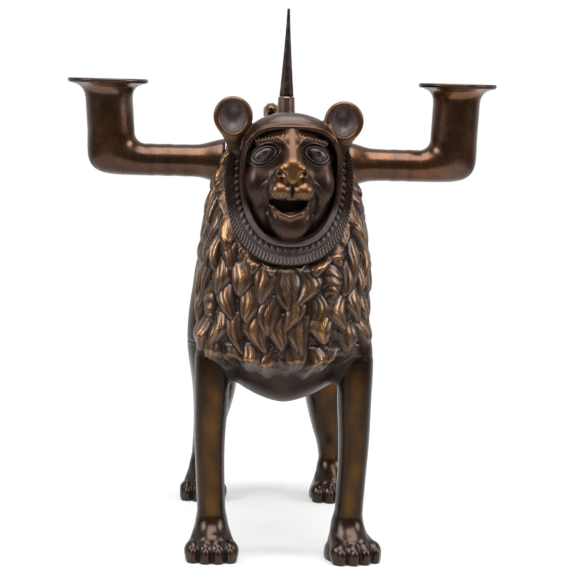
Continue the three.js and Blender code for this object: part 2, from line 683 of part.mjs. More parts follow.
// The rolled edge of the hood, an arch over the brow from one ear to the other.
function headband() {
  const steps = 10;
  const rings = [];
  for (let i = 0; i <= steps; i++) {
    const angle = THREE.MathUtils.lerp(-1.25, 1.25, i / steps);
    const out = new THREE.Vector3(Math.sin(angle), 0, Math.cos(angle));
    const centre = new THREE.Vector3(0, RUFF_Y - HEADBAND_OUT, HEAD_LEVEL + HEADBAND_LEVEL);
    centre.addScaledVector(out, HEADBAND_RADIUS);
    centre.y -= 2 * Math.cos(angle);
    rings.push(eggRing(centre, new THREE.Vector3(0, -1, 0), out, { half: 2.6, above: 2, below: 2 }, 8));
  }
  return solidOf(loft(rings));
}

function neckTenon(grow, depth) {
  const shape = {
    half: NECK_TENON_HALF_WIDTH + grow,
    above: NECK_TENON_HALF_HEIGHT * 0.72 + grow,
    below: NECK_TENON_HALF_HEIGHT + grow,
    squareAbove: 2.4,
    squareBelow: 2.4,
  };
  const ring = (y) =>
    eggRing(new THREE.Vector3(0, y, HEAD_LEVEL), ACROSS, UP, shape, HEAD_RING_POINTS);
  return solidOf(loft([ring(RUFF_Y + depth), ring(RUFF_Y - 3)]));
}

// The two pins of the neck run inwards from the sides of the neck through the head's tenon.
function neckPinEnds(side) {
  const axis = new THREE.Vector3(0, RUFF_Y + NECK_TENON_DEPTH * 0.55, HEAD_LEVEL - 4);
  const { point } = onBody(axis, new THREE.Vector3(side, 0, 0));
  const inner = axis.clone();
  inner.x = side * (NECK_TENON_HALF_WIDTH - HEAD_WALL * 0.9);
  return { head: point, inner };
}

function headSolid() {
  const at = (x, out, level) => new THREE.Vector3(x, RUFF_Y - out, HEAD_LEVEL + level);
  const front = HEAD_LENGTH;
  const parts = [
    solidOf(loft(RUFF_PROFILE.map(([share, out]) => ruffRing(share, out)))),
    solidOf(loft(SKULL_PROFILE.map(skullRing))),
    ...EARS.map(ear),
    egg(at(0, front - 13.5, -8), 15.5, 12, 15, 12, 6), // muzzle
    egg(at(0, front - 11, 8), 6.6, 9, 15, 10, 6), // bridge of the nose
    egg(at(0, front - 4.5, 3.4), 7.4, 5, 5, 10, 6), // nose leather
    egg(at(0, front - 13, -23), 9.5, 9, 7.5, 10, 6), // chin
  ];
  for (const side of [-1, 1]) {
    parts.push(egg(at(side * 5.8, front - 5.6, -5.2), 6.4, 5.4, 5.4, 10, 6)); // lip pad
    parts.push(egg(at(side * 12.5, front - 15, 19.5), 9.5, 5, 4, 10, 6)); // brow
    parts.push(egg(at(side * 16, front - 18, -3), 7.5, 7, 13, 10, 6)); // cheek
  }
  parts.push(headband());
  let head = joined(parts);
  for (const side of [-1, 1]) {
    head = head.subtract(egg(at(side * 13.3, front - 10, 12.2), 7.2, 4.6, 5, 12, 6));
    head = head.add(egg(at(side * 13.3, front - 15.4, 12.2), 5.8, 5.6, 5.4, 10, 6));
  }
  head = head.subtract(egg(at(0, front - 3, -13.4), 11.4, 8, 3.4, 12, 6));
  head = head.add(egg(at(0, front - 10.5, -18.2), 5.6, 7, 3.4, 10, 6));
  head = head.add(neckTenon(0, NECK_TENON_DEPTH));
  const hollow = solidOf(
    loft([
      [NECK_TENON_DEPTH + 2, 0],
      [-6, 0],
      [-14, 4],
    ].map(([depth, less]) => {
      const shape = {
        half: NECK_TENON_HALF_WIDTH - HEAD_WALL - less,
        above: NECK_TENON_HALF_HEIGHT * 0.72 - HEAD_WALL - less,
        below: NECK_TENON_HALF_HEIGHT - HEAD_WALL - less,
      };
      return eggRing(new THREE.Vector3(0, RUFF_Y + depth, HEAD_LEVEL), ACROSS, UP, shape, 16);
    })),
  );
  head = head.subtract(hollow);
  for (const side of [-1, 1]) {
    const { head: outer, inner } = neckPinEnds(side);
    const beyond = inner.clone();
    beyond.x -= side * OVERRUN;
    head = head.subtract(barSolid(outer, beyond, NECK_PIN_RADIUS + PIN_GAP));
  }
  return largestBody(head);
}

// The room that the head takes in the mane, with its clearance: the ruff, the ears' roots and the tenon.
function headRoom() {
  const clearance = 2 * FIT_GAP;
  const share = 1 + clearance / RUFF_HALF_WIDTH;
  const ruff = solidOf(loft([ruffRing(share, -FIT_GAP), ruffRing(share, HEAD_LENGTH)]));
  const ears = EARS.map(({ x, rise }) => {
    const centre = new THREE.Vector3(x, RUFF_Y - EAR_OUT, HEAD_LEVEL + rise);
    const radius = EAR_RADIUS + clearance;
    return egg(centre, radius, EAR_THICKNESS + 2 * clearance, radius, 10, 6);
  });
  const hoodSize = { half: HOOD_HALF_WIDTH + clearance, above: HOOD_ABOVE + clearance, below: RUFF_ABOVE };
  const hood = loft([-FIT_GAP, HEAD_LENGTH].map((out) => skullRing({ out, ...hoodSize })));
  return joined([ruff, ...ears, solidOf(hood), neckTenon(FIT_GAP, NECK_TENON_DEPTH + 1)]);
}

// Mane

// Drop from the top of a row as a share of its height, then the relief of its locks and of the furrows
// between them. The tips of the row above lie in the tops of the furrows.
const LOCK_SECTIONS = [
  [0.03, 0.6, 0.95],
  [0.42, 1.3, 0.4],
  [0.88, 1.25, 0.3],
];
const MANE_SIDE_ANGLE = 2.45; // how far round from the front the mane reaches, in radians
const MANE_BACK_REACH = 12; // behind the mane its ring runs inside the body, this far from the axis
const MANE_HANG_LEVEL = LEG_HEIGHT + 22; // below it the locks hang straight down
const MANE_FRINGE_LEVEL = LEG_HEIGHT + 5;
const MANE_TOP_LEVEL = SHOULDER_LEVEL - 11;

// A level ring round the mane. Ridges and furrows take turns, and change places from one row to the next.
function maneRing(level, ridge, furrow, row) {
  const ring = [];
  const points = 2 * LOCKS_AROUND;
  for (let i = 0; i < points; i++) {
    const isRidge = (i + row) % 2 === 0;
    const sway = 0.022 * Math.sin(2.9 * i + 1.7 * row);
    const angle = (2 * Math.PI * (i + 0.5)) / points - Math.PI + sway;
    const direction = new THREE.Vector3(Math.sin(angle), -Math.cos(angle), 0);
    const from = new THREE.Vector3(0, MANE_AXIS_Y, Math.max(level, MANE_HANG_LEVEL));
    const distance = onBody(from, direction).point.distanceTo(from);
    const unevenness = 1 + 0.18 * Math.sin(4.3 * i + 2.1 * row);
    const rise = LOCK_RELIEF * (isRidge ? ridge * unevenness : furrow);
    const out = Math.abs(angle) > MANE_SIDE_ANGLE ? MANE_BACK_REACH : distance + rise;
    ring.push(from.clone().setZ(level).addScaledVector(direction, out));
  }
  return ring;
}

// Rows of pointed locks, each row lying over the one below it, from the nape down to the fringe.
function maneSolid() {
  const rings = [];
  const rowHeight = (MANE_TOP_LEVEL - MANE_FRINGE_LEVEL) / LOCK_ROWS;
  for (let row = LOCK_ROWS - 1; row >= 0; row--) {
    const rowTop = MANE_FRINGE_LEVEL + rowHeight * (row + 1);
    for (const [drop, ridge, furrow] of LOCK_SECTIONS) {
      rings.push(maneRing(rowTop - drop * rowHeight, ridge, furrow, row));
    }
  }
  return solidOf(loft(rings));
}

// Spike and its fixing

const padTop = onBody(new THREE.Vector3(SPIKE_X, SPIKE_Y, coreLevel(SPIKE_Y)), UP).point.z + PAD_HEIGHT;
const wallUnderside = padTop - PAD_HEIGHT - WALL - BOSS_DEPTH;
const collarTop = padTop + FIT_GAP + COLLAR_HEIGHT;

function spikeSolid() {
  const bottom = wallUnderside - WASHER_THICKNESS - NUT_THICKNESS - 3;
  const base = collarTop + FIT_GAP;
  const profile = [[0, bottom], [TANG_RADIUS, bottom], [TANG_RADIUS, base], [SPIKE_BASE_RADIUS, base]];
  const steps = 4;
  for (let i = 1; i < steps; i++) {
    const t = i / steps;
    const radius = SPIKE_TIP_RADIUS + (SPIKE_BASE_RADIUS - SPIKE_TIP_RADIUS) * (1 - t) ** 1.25;
    profile.push([radius, base + SPIKE_LENGTH * t]);
  }
  profile.push([SPIKE_TIP_RADIUS, base + SPIKE_LENGTH - 0.6], [0, base + SPIKE_LENGTH]);
  return turnedAt(profile, SPIKE_X, SPIKE_Y, SPIKE_FACES);
}

// A turned piece from its profile of radius and level, standing at the given place.
function turnedAt(profile, x, y, sides) {
  const points = profile.map(([radius, level]) => new THREE.Vector2(radius, level));
  const geometry = new THREE.LatheGeometry(points, sides);
  geometry.rotateX(Math.PI / 2);
  geometry.translate(x, y, 0);
  return solidOf(geometry);
}

function ringProfile(inner, outer, low, high) {
  return [[inner, low], [outer, low], [outer, high], [inner, high], [inner, low]];
}

function collarSolid() {
  const bore = TANG_RADIUS + FIT_GAP;
  const low = padTop + FIT_GAP;
  const profile = [
    [bore, low],
    [COLLAR_FOOT_RADIUS, low],
    [COLLAR_FOOT_RADIUS, low + COLLAR_FOOT_HEIGHT],
    [COLLAR_RADIUS + 0.4, low + COLLAR_FOOT_HEIGHT + 1.2],
    [COLLAR_RADIUS, collarTop - 0.6],
    [COLLAR_RADIUS - 0.4, collarTop],
    [bore, collarTop],
    [bore, low],
  ];
  return turnedAt(profile, SPIKE_X, SPIKE_Y, 20);
}

function washerSolid() {
  const high = wallUnderside - FIT_GAP;
  const profile = ringProfile(TANG_RADIUS + FIT_GAP, WASHER_RADIUS, high - WASHER_THICKNESS, high);
  return turnedAt(profile, SPIKE_X, SPIKE_Y, 20);
}

function nutSolid() {
  const high = wallUnderside - 2 * FIT_GAP - WASHER_THICKNESS;
  const corner = NUT_ACROSS / 2 / Math.cos(Math.PI / 6);
  const underside = high - NUT_THICKNESS;
  const profile = [[0, underside], [corner, underside], [corner, high], [0, high]];
  const outside = turnedAt(profile, SPIKE_X, SPIKE_Y, 6);
  const low = new THREE.Vector3(SPIKE_X, SPIKE_Y, underside - 1);
  const top = new THREE.Vector3(SPIKE_X, SPIKE_Y, high + 1);
  return outside.subtract(barSolid(low, top, TANG_RADIUS + FIT_GAP));
}

// Tail

const TAIL_LEVEL = LEG_HEIGHT + 0.71 * BODY_HEIGHT;
const TAIL_RINGS = 20;

function tailSeat() {
  return onBody(new THREE.Vector3(0, RUMP_Y - RUMP_ROUNDING, TAIL_LEVEL), BACKWARDS).point;
}

// The tail leaves the rump, rises in a low arch over the back and ends in a tuft behind the spike.
function tailSolid() {
  const seat = tailSeat();
  const backLevel = (y) => onBody(new THREE.Vector3(0, y, coreLevel(y)), UP).point.z;
  const tuftY = SPIKE_Y + 26;
  const path = new THREE.CatmullRomCurve3([
    new THREE.Vector3(0, seat.y - 3, seat.z),
    new THREE.Vector3(0, seat.y + 8.5, seat.z + 4),
    new THREE.Vector3(0, seat.y + 9.5, seat.z + 21),
    new THREE.Vector3(-1, seat.y - 12, backLevel(seat.y - 40) + 6.5),
    new THREE.Vector3(-2.5, seat.y - 34, backLevel(seat.y - 40) + TAIL_RADIUS + 1.4),
    new THREE.Vector3(-5.5, tuftY + 12, backLevel(tuftY) + TAIL_RADIUS + 1.8),
    new THREE.Vector3(-7.2, tuftY - 4, backLevel(tuftY) + 12.6),
  ]);
  const rings = [];
  const tuftStart = 0.74;
  for (let i = 0; i <= TAIL_RINGS; i++) {
    const t = i / TAIL_RINGS;
    const centre = path.getPointAt(t);
    const ahead = path.getTangentAt(t);
    const up = new THREE.Vector3().crossVectors(ahead, ACROSS).normalize();
    const inTuft = Math.max((t - tuftStart) / (1 - tuftStart), 0);
    const swell = Math.sin(inTuft * Math.PI * 0.93);
    const thin = inTuft ? 0.75 * Math.cos(inTuft * 1.35) : 1 - 0.25 * (t / tuftStart);
    const half = TAIL_RADIUS * thin + 3.4 * swell;
    const high = TAIL_RADIUS * thin + 2.6 * swell;
    rings.push(eggRing(centre, ACROSS, up, { half, above: high, below: high }, 10));
  }
  const inner = new THREE.Vector3(0, seat.y - TAIL_TENON_LENGTH, seat.z);
  const outer = new THREE.Vector3(0, seat.y + 3, seat.z);
  const tenon = barSolid(inner, outer, TAIL_TENON_RADIUS, BOSS_SIDES);
  const { head, foot } = tailPinEnds();
  const hole = barSolid(head, foot.addScaledVector(UP, -OVERRUN), TAIL_PIN_RADIUS + PIN_GAP);
  return largestBody(solidOf(loft(rings)).subtract(bodyWithGap).add(tenon).subtract(hole));
}

function tailPinEnds() {
  const seat = tailSeat();
  const axis = new THREE.Vector3(0, seat.y - TAIL_TENON_LENGTH * 0.6, seat.z);
  const { point } = onBody(axis, UP);
  return { head: point, foot: axis.clone().addScaledVector(UP, -TAIL_TENON_RADIUS - 2) };
}

// Plug

function plugSeat() {
  return onBody(new THREE.Vector3(0, PLUG_Y, coreLevel(PLUG_Y)), UP.clone().negate()).point.z;
}

// A round plug with a low head, seated in the core hole of the belly.
function plugSolid() {
  const skin = plugSeat();
  const profile = [
    [0, skin - PLUG_HEAD_THICKNESS],
    [PLUG_HEAD_RADIUS - 1.4, skin - PLUG_HEAD_THICKNESS],
    [PLUG_HEAD_RADIUS, skin - FIT_GAP],
    [PLUG_RADIUS, skin - FIT_GAP],
    [PLUG_RADIUS, skin + WALL],
    [0, skin + WALL],
  ];
  return turnedAt(profile, 0, PLUG_Y, 24);
}

// Body shell with its sleeves, holes and mane

function bodySolid() {
  const bosses = [];
  const holes = [];
  for (const leg of LEGS) {
    const { foot, tip } = legTenonEnds(leg);
    const high = tip.clone().addScaledVector(UP, WALL);
    bosses.push(barSolid(foot, high, LEG_TENON_RADIUS + WALL, BOSS_SIDES));
    holes.push(barSolid(foot, tip.addScaledVector(UP, FIT_GAP), LEG_TENON_RADIUS + FIT_GAP, BOSS_SIDES));
    const pin = legPinEnds(leg);
    const outer = pin.head.addScaledVector(pin.outwards, OVERRUN);
    const inner = pin.inner.addScaledVector(pin.outwards, -PIN_GAP);
    holes.push(barSolid(outer, inner, LEG_PIN_RADIUS + PIN_GAP));
  }
  for (const arm of ARMS) {
    const { from, to } = armTenonEnds(arm);
    const deeper = to.clone();
    deeper.x -= arm.side * (WALL + FIT_GAP);
    bosses.push(barSolid(from, deeper, ARM_TENON_RADIUS + WALL, BOSS_SIDES));
    const end = to.clone();
    end.x -= arm.side * FIT_GAP;
    holes.push(barSolid(from, end, ARM_TENON_RADIUS + FIT_GAP, BOSS_SIDES));
    const pin = armPinEnds(arm);
    const above = pin.head.addScaledVector(UP, OVERRUN);
    const below = pin.foot.addScaledVector(UP, -PIN_GAP);
    holes.push(barSolid(above, below, ARM_PIN_RADIUS + PIN_GAP));
  }
  const seat = tailSeat();
  const tailIn = new THREE.Vector3(0, seat.y - TAIL_TENON_LENGTH - FIT_GAP, seat.z);
  const tailOut = new THREE.Vector3(0, seat.y + 4, seat.z);
  bosses.push(barSolid(tailIn.clone().setY(tailIn.y - WALL), tailOut, TAIL_TENON_RADIUS + WALL, BOSS_SIDES));
  holes.push(barSolid(tailIn, tailOut, TAIL_TENON_RADIUS + FIT_GAP, BOSS_SIDES));
  const tailPin = tailPinEnds();
  const tailPinTop = tailPin.head.addScaledVector(UP, OVERRUN);
  holes.push(barSolid(tailPinTop, tailPin.foot.addScaledVector(UP, -PIN_GAP), TAIL_PIN_RADIUS + PIN_GAP));

  const spikeLow = new THREE.Vector3(SPIKE_X, SPIKE_Y, wallUnderside);
  const spikeHigh = new THREE.Vector3(SPIKE_X, SPIKE_Y, padTop);
  const padFoot = new THREE.Vector3(SPIKE_X, SPIKE_Y, padTop - PAD_HEIGHT - WALL / 2);
  bosses.push(barSolid(spikeLow, padFoot, PAD_RADIUS, 24));
  const tangLow = spikeLow.clone().addScaledVector(UP, -OVERRUN);
  const tangHigh = spikeHigh.clone().addScaledVector(UP, OVERRUN);
  holes.push(barSolid(tangLow, tangHigh, TANG_RADIUS + FIT_GAP));
  const pad = barSolid(padFoot, spikeHigh, PAD_RADIUS, 24);

  const neckInner = neckTenonSleeve();
  const skin = plugSeat();
  const plugLow = new THREE.Vector3(0, PLUG_Y, skin - OVERRUN);
  const plugHigh = new THREE.Vector3(0, PLUG_Y, skin + 2 * WALL);
  holes.push(barSolid(plugLow, plugHigh, PLUG_RADIUS + FIT_GAP, 24));
  holes.push(barSolid(plugLow, plugHigh.clone().setZ(skin), PLUG_HEAD_RADIUS + FIT_GAP, 24));

  const room = headRoom();
  const grownLegs = LEGS.map((leg) => lowerLeg(leg, FIT_GAP));
  const armRooms = ARMS.map((arm) => {
    const { from } = armTenonEnds(arm);
    const out = from.clone().setX(from.x + arm.side * 20);
    const inner = from.clone().setX(0);
    return barSolid(inner, out, ARM_ROOT_RADIUS + FIT_GAP + 0.3, 24);
  });
  let mane = maneSolid();
  for (const taken of [...grownLegs, ...armRooms]) mane = mane.subtract(taken);
  const sleeves = joined([...bosses, neckInner]).intersect(bodyOutside);
  const shell = bodyOutside.add(mane).subtract(bodyInside).add(sleeves).add(pad);
  const cut = joined([...holes, room, neckPinHoles()]);
  return largestBody(shell.subtract(cut));
}

// The thick ring inside the neck that holds the head's tenon.
function neckTenonSleeve() {
  const outside = neckTenon(WALL + FIT_GAP, NECK_TENON_DEPTH + 1 + WALL);
  return outside.subtract(neckTenon(-HEAD_WALL * 0.6, NECK_TENON_DEPTH + 2 * WALL + OVERRUN));
}

function neckPinHoles() {
  const solids = [-1, 1].map((side) => {
    const { head, inner } = neckPinEnds(side);
    const outer = head.clone();
    outer.x += side * OVERRUN;
    return barSolid(outer, inner, NECK_PIN_RADIUS + PIN_GAP);
  });
  return joined(solids);
}

// Assembly

const BRONZE = { color: 0x4a3222, roughness: 0.38, metalness: 1 };
const RUBBED_BRONZE = { color: 0x6b4726, roughness: 0.34, metalness: 1 };
const IRON = { color: 0x2a2422, roughness: 0.5, metalness: 1 };

const candlestick = new THREE.Group();

function place(name, solid, look) {
  const mesh = new THREE.Mesh(geometryOf(solid), new THREE.MeshStandardMaterial(look));
  mesh.name = name;
  candlestick.add(mesh);
}

place("body_shell", bodySolid(), BRONZE);
place("head", headSolid(), BRONZE);
for (const leg of LEGS) {
  place(leg.name, legSolid(leg), BRONZE);
  const { head, inner } = legPinEnds(leg);
  place(`${leg.name}_pin`, barSolid(head, inner, LEG_PIN_RADIUS), RUBBED_BRONZE);
}
for (const arm of ARMS) {
  place(arm.name, armSolid(arm), BRONZE);
  const { head, foot } = armPinEnds(arm);
  place(`${arm.name}_pin`, barSolid(head, foot, ARM_PIN_RADIUS), RUBBED_BRONZE);
}
for (const [name, side] of [["neck_pin_left", -1], ["neck_pin_right", 1]]) {
  const { head, inner } = neckPinEnds(side);
  place(name, barSolid(head, inner, NECK_PIN_RADIUS), RUBBED_BRONZE);
}
place("tail", tailSolid(), BRONZE);
const tailPin = tailPinEnds();
place("tail_pin", barSolid(tailPin.head, tailPin.foot, TAIL_PIN_RADIUS), RUBBED_BRONZE);
place("spike_collar", collarSolid(), BRONZE);
place("pricket_spike", spikeSolid(), IRON);
place("spike_washer", washerSolid(), IRON);
place("spike_nut", nutSolid(), IRON);
place("belly_plug", plugSolid(), BRONZE);

export default candlestick;
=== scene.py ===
from itertools import product
from math import cos, hypot, pi, radians, sin

import bpy
import numpy as np
from mathutils import Matrix, Vector


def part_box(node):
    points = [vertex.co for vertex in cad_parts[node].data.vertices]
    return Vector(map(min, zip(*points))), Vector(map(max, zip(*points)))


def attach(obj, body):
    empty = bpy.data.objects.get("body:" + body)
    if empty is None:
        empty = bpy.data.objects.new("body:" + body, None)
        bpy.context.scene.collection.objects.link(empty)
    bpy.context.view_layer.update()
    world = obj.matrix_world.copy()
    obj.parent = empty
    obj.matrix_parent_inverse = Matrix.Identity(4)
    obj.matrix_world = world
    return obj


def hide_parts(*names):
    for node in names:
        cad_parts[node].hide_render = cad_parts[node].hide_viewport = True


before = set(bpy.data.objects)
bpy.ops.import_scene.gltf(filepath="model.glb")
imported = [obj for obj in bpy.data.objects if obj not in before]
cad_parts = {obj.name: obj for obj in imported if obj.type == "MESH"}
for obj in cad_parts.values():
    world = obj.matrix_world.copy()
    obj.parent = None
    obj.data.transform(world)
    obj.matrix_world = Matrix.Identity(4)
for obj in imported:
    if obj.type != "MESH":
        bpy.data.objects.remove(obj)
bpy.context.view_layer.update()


# Body: the hollow bronze trunk from chest to rump, with the haunches cast on it.
# It was cast round a core, so its skin is smooth, dark on the belly and rubbed on the flanks.
LEG_LEVEL = 98.0
CHEST, RUMP = -92.0, 98.0
CHEST_ROUNDING, RUMP_ROUNDING = 38.0, 39.9
END_POWER, END_SIZE, LEAST_HALF = 0.425, 45.0, 2.5
CHEST_LEVEL, RUMP_LEVEL = LEG_LEVEL + 33.1, LEG_LEVEL + 80
STATION_Y = (-92.0, -73.0, -44.5, -16.0, 17.25, 50.5, 79.0, 98.0)
STATION_HALF = (42.7, 44.0, 43.6, 40.9, 37.0, 35.2, 37.8, 36.1)
STATION_TOP = (133.9, 137, 136.3, 134.6, 130.1, 124.2, 122.8, 118)
STATION_WIDEST = (23.5, 22.1, 26.2, 45.5, 56.6, 58, 58, 60)
STATION_LOW = (-11, -16.3, -8.3, 8.6, 17, 20, 17.9, 24)
STATION_KEEL = (1.62, 1.62, 1.66, 1.9, 2.05, 2.05, 2.05, 2.05)
HAUNCH_SEAT, HAUNCH_FILLET, REAR_HALF = LEG_LEVEL + 0.15, 9.0, 40.0
SHOULDER_FOOT, SHOULDER_FILLET, SHOULDER_INSET = 88.0, 7.0, 0.35
SHOULDER_FADE_FROM, SHOULDER_FADE_OVER, SHOULDER_FADE_DEPTH = 112.0, 18.0, 6.8
HEAD_LEVEL, RUFF_BACK = 205.0, -73.0
RUFF_X, RUFF_HALF, RUFF_RISE, RUFF_DROP = -0.6, 33.6, 27.0, 45.4
NECK_GAP, SEAT_GAP = 0.4, 0.3


def smooth_line(at, stops, values):
    """A smooth curve through values at rising stops, read at many places."""
    stops = np.asarray(stops, np.float32)
    values = np.asarray(values, np.float32)
    slopes = np.gradient(values, stops)
    at = np.clip(at, stops[0], stops[-1])
    i = np.clip(np.searchsorted(stops, at, side="right") - 1, 0, len(stops) - 2)
    span = stops[i + 1] - stops[i]
    t = (at - stops[i]) / span
    start = (1 + 2 * t) * (1 - t) ** 2 * values[i] + t * (1 - t) ** 2 * span * slopes[i]
    end = t * t * (3 - 2 * t) * values[i + 1] + t * t * (t - 1) * span * slopes[i + 1]
    return start + end


def held(number):
    """A number held between nought and one."""
    return np.clip(number, 0, 1)


def hump(away, width, power=2):
    """One in the middle, falling away to nought over a width."""
    return np.exp(-((away / width) ** power))


def weld(a, b, fillet):
    """Two forms run into one another with a soft fillet. Forms are distances, negative inside."""
    h = held(0.5 + 0.5 * (b - a) / fillet)
    return b + (a - b) * h - fillet * h * (1 - h)


def scoop(a, b, fillet):
    """Form a with form b taken out of it."""
    return -weld(-a, b, fillet)


def egg(x, y, z, centre, radii):
    """An egg with a radius for each direction."""
    x, y, z = x - centre[0], y - centre[1], z - centre[2]
    near = np.sqrt((x / radii[0]) ** 2 + (y / radii[1]) ** 2 + (z / radii[2]) ** 2)
    far = np.sqrt((x / radii[0] ** 2) ** 2 + (y / radii[1] ** 2) ** 2 + (z / radii[2] ** 2) ** 2)
    return near * (near - 1) / np.maximum(far, 1e-6)


def rod(x, y, z, start, end, start_radius, end_radius):
    """A round-ended rod that may taper."""
    run = np.subtract(end, start)
    share = ((x - start[0]) * run[0] + (y - start[1]) * run[1] + (z - start[2]) * run[2]) / run.dot(run)
    share = held(share)
    away = np.sqrt(sum((p - s - share * r) ** 2 for p, s, r in zip((x, y, z), start, run)))
    return away - start_radius - (end_radius - start_radius) * share


def section(across, up, half, above, below, square_above, square_below):
    """Distance from an egg-shaped section, measured along the line from its middle."""
    above, below = np.maximum(above, LEAST_HALF), np.maximum(below, LEAST_HALF)
    power = np.where(up > 0, square_above, square_below)
    height = np.where(up > 0, above, below)
    share = (np.abs(across / half) ** power + np.abs(up / height) ** power) ** (1 / power)
    length = np.sqrt(across * across + up * up)
    return np.where(share > 0.02, length - length / np.maximum(share, 0.02), -np.minimum(half, height))


def barrel(x, y, z):
    """The trunk without haunches or shoulders: its sections from chest to rump, closed by rounded ends."""
    front = held((CHEST + CHEST_ROUNDING - y) / CHEST_ROUNDING)
    back = held((y - RUMP + RUMP_ROUNDING) / RUMP_ROUNDING)
    bend = np.maximum(front, back)
    closing = np.maximum(1 - bend * bend, 1e-4) ** END_POWER
    level = np.where(front > 0, CHEST_LEVEL, RUMP_LEVEL)
    top, widest, low = (
        level + (LEG_LEVEL + smooth_line(y, STATION_Y, row) - level) * closing
        for row in (STATION_TOP, STATION_WIDEST, STATION_LOW)
    )
    half = np.maximum(smooth_line(y, STATION_Y, STATION_HALF) * closing, LEAST_HALF)
    keel = smooth_line(y, STATION_Y, STATION_KEEL)
    across = section(x, z - widest, half, top - widest, widest - low, 2.5, keel)
    rounding = np.where(front > 0, CHEST_ROUNDING, RUMP_ROUNDING)
    slope = 2 * END_POWER * END_SIZE / rounding * bend / np.maximum(1 - bend * bend, 0.02) ** (1 - END_POWER)
    beyond = np.maximum(CHEST - y, y - RUMP)
    return np.maximum(across / np.sqrt(1 + slope * slope), beyond)


FRONT_LEG_X, FRONT_LEG_Y = 37.75, -67.0
FRONT_LEG = {
    "level": (0.13, 0.22, 0.42, 0.65, 0.85, 1.2, 1.34),
    "half_x": (8.2, 7.7, 7.6, 8.2, 9.0, 9.6, 9.6),
    "half_y": (8.4, 8.2, 8.6, 9.4, 10.6, 11.4, 11.4),
    "x": (-1.2, -1.0, 0.0, 0.8, 0.4, -0.4, -2.0),
    "y": (0.5, 0.8, 0.6, 0.6, 0.2, 0.0, 0.0),
}
REAR_LEG_X, REAR_LEG_Y = 35.0, 72.0
REAR_LEG = {
    "level": (0.12, 0.2, 0.31, 0.46, 0.7, 1.0, 1.3, 1.6, 1.78),
    "half_x": (8.4, 7.4, 7.6, 9.6, 13.0, 15.2, 15.0, 11.5, 4.0),
    "half_y": (8.6, 8.4, 10.4, 12.0, 17.0, 21.0, 23.0, 20.0, 10.0),
    "x": (4.2, 4.4, 3.6, 1.2, -1.2, 0.4, -1.5, -5.0, -12.0),
    "y": (11.0, 14.0, 15.5, 9.0, 2.0, 0.0, 1.0, 2.0, 2.0),
}


def shank(x, y, z, side, rows, foot_x, foot_y, grow=0.0):
    """A leg without its paw, through rows of half widths and places at rising levels."""
    level = z / LEG_LEVEL
    read = {name: smooth_line(level, rows["level"], rows[name]) for name in rows if name != "level"}
    x = x - side * (foot_x + read["x"])
    y = y - foot_y - read["y"]
    half_y = read["half_y"] + grow
    distance = section(x, y, read["half_x"] + grow, half_y, half_y, 2.2, 2.2) * 0.94
    low, high = rows["level"][0] * LEG_LEVEL, rows["level"][-1] * LEG_LEVEL
    return np.maximum(distance, np.maximum(low - z, z - high))


def trunk(x, y, z):
    """The barrel with the haunches on it and the roots of the front legs sunk into its shoulders."""
    body = barrel(x, y, z)
    for side in (-1, 1):
        haunch = np.maximum(shank(x, y, z, side, REAR_LEG, REAR_LEG_X, REAR_LEG_Y), HAUNCH_SEAT - z)
        body = weld(body, haunch, HAUNCH_FILLET)
        fading = SHOULDER_FADE_DEPTH * held((z - SHOULDER_FADE_FROM) / SHOULDER_FADE_OVER) ** 2
        stub = shank(x, y, z, side, FRONT_LEG, FRONT_LEG_X, FRONT_LEG_Y, -SHOULDER_INSET - fading)
        body = weld(body, np.maximum(stub, SHOULDER_FOOT - z), SHOULDER_FILLET)
    return np.where((z < HAUNCH_SEAT) & (y > REAR_HALF), np.maximum(body, HAUNCH_SEAT - z), body)


def ruff_edge(x, h):
    """How far a place across and above the head's middle lies outside the outline of its ruff."""
    return section(x - RUFF_X, h, RUFF_HALF, RUFF_RISE, RUFF_DROP, 2.5, 2.4)


def trunk_with_neck(x, y, z):
    """The trunk with the room cut into its neck where the head is seated."""
    room = np.maximum(ruff_edge(x, z - HEAD_LEVEL) - NECK_GAP, y - RUFF_BACK - SEAT_GAP)
    return scoop(trunk(x, y, z), room, 0.6)


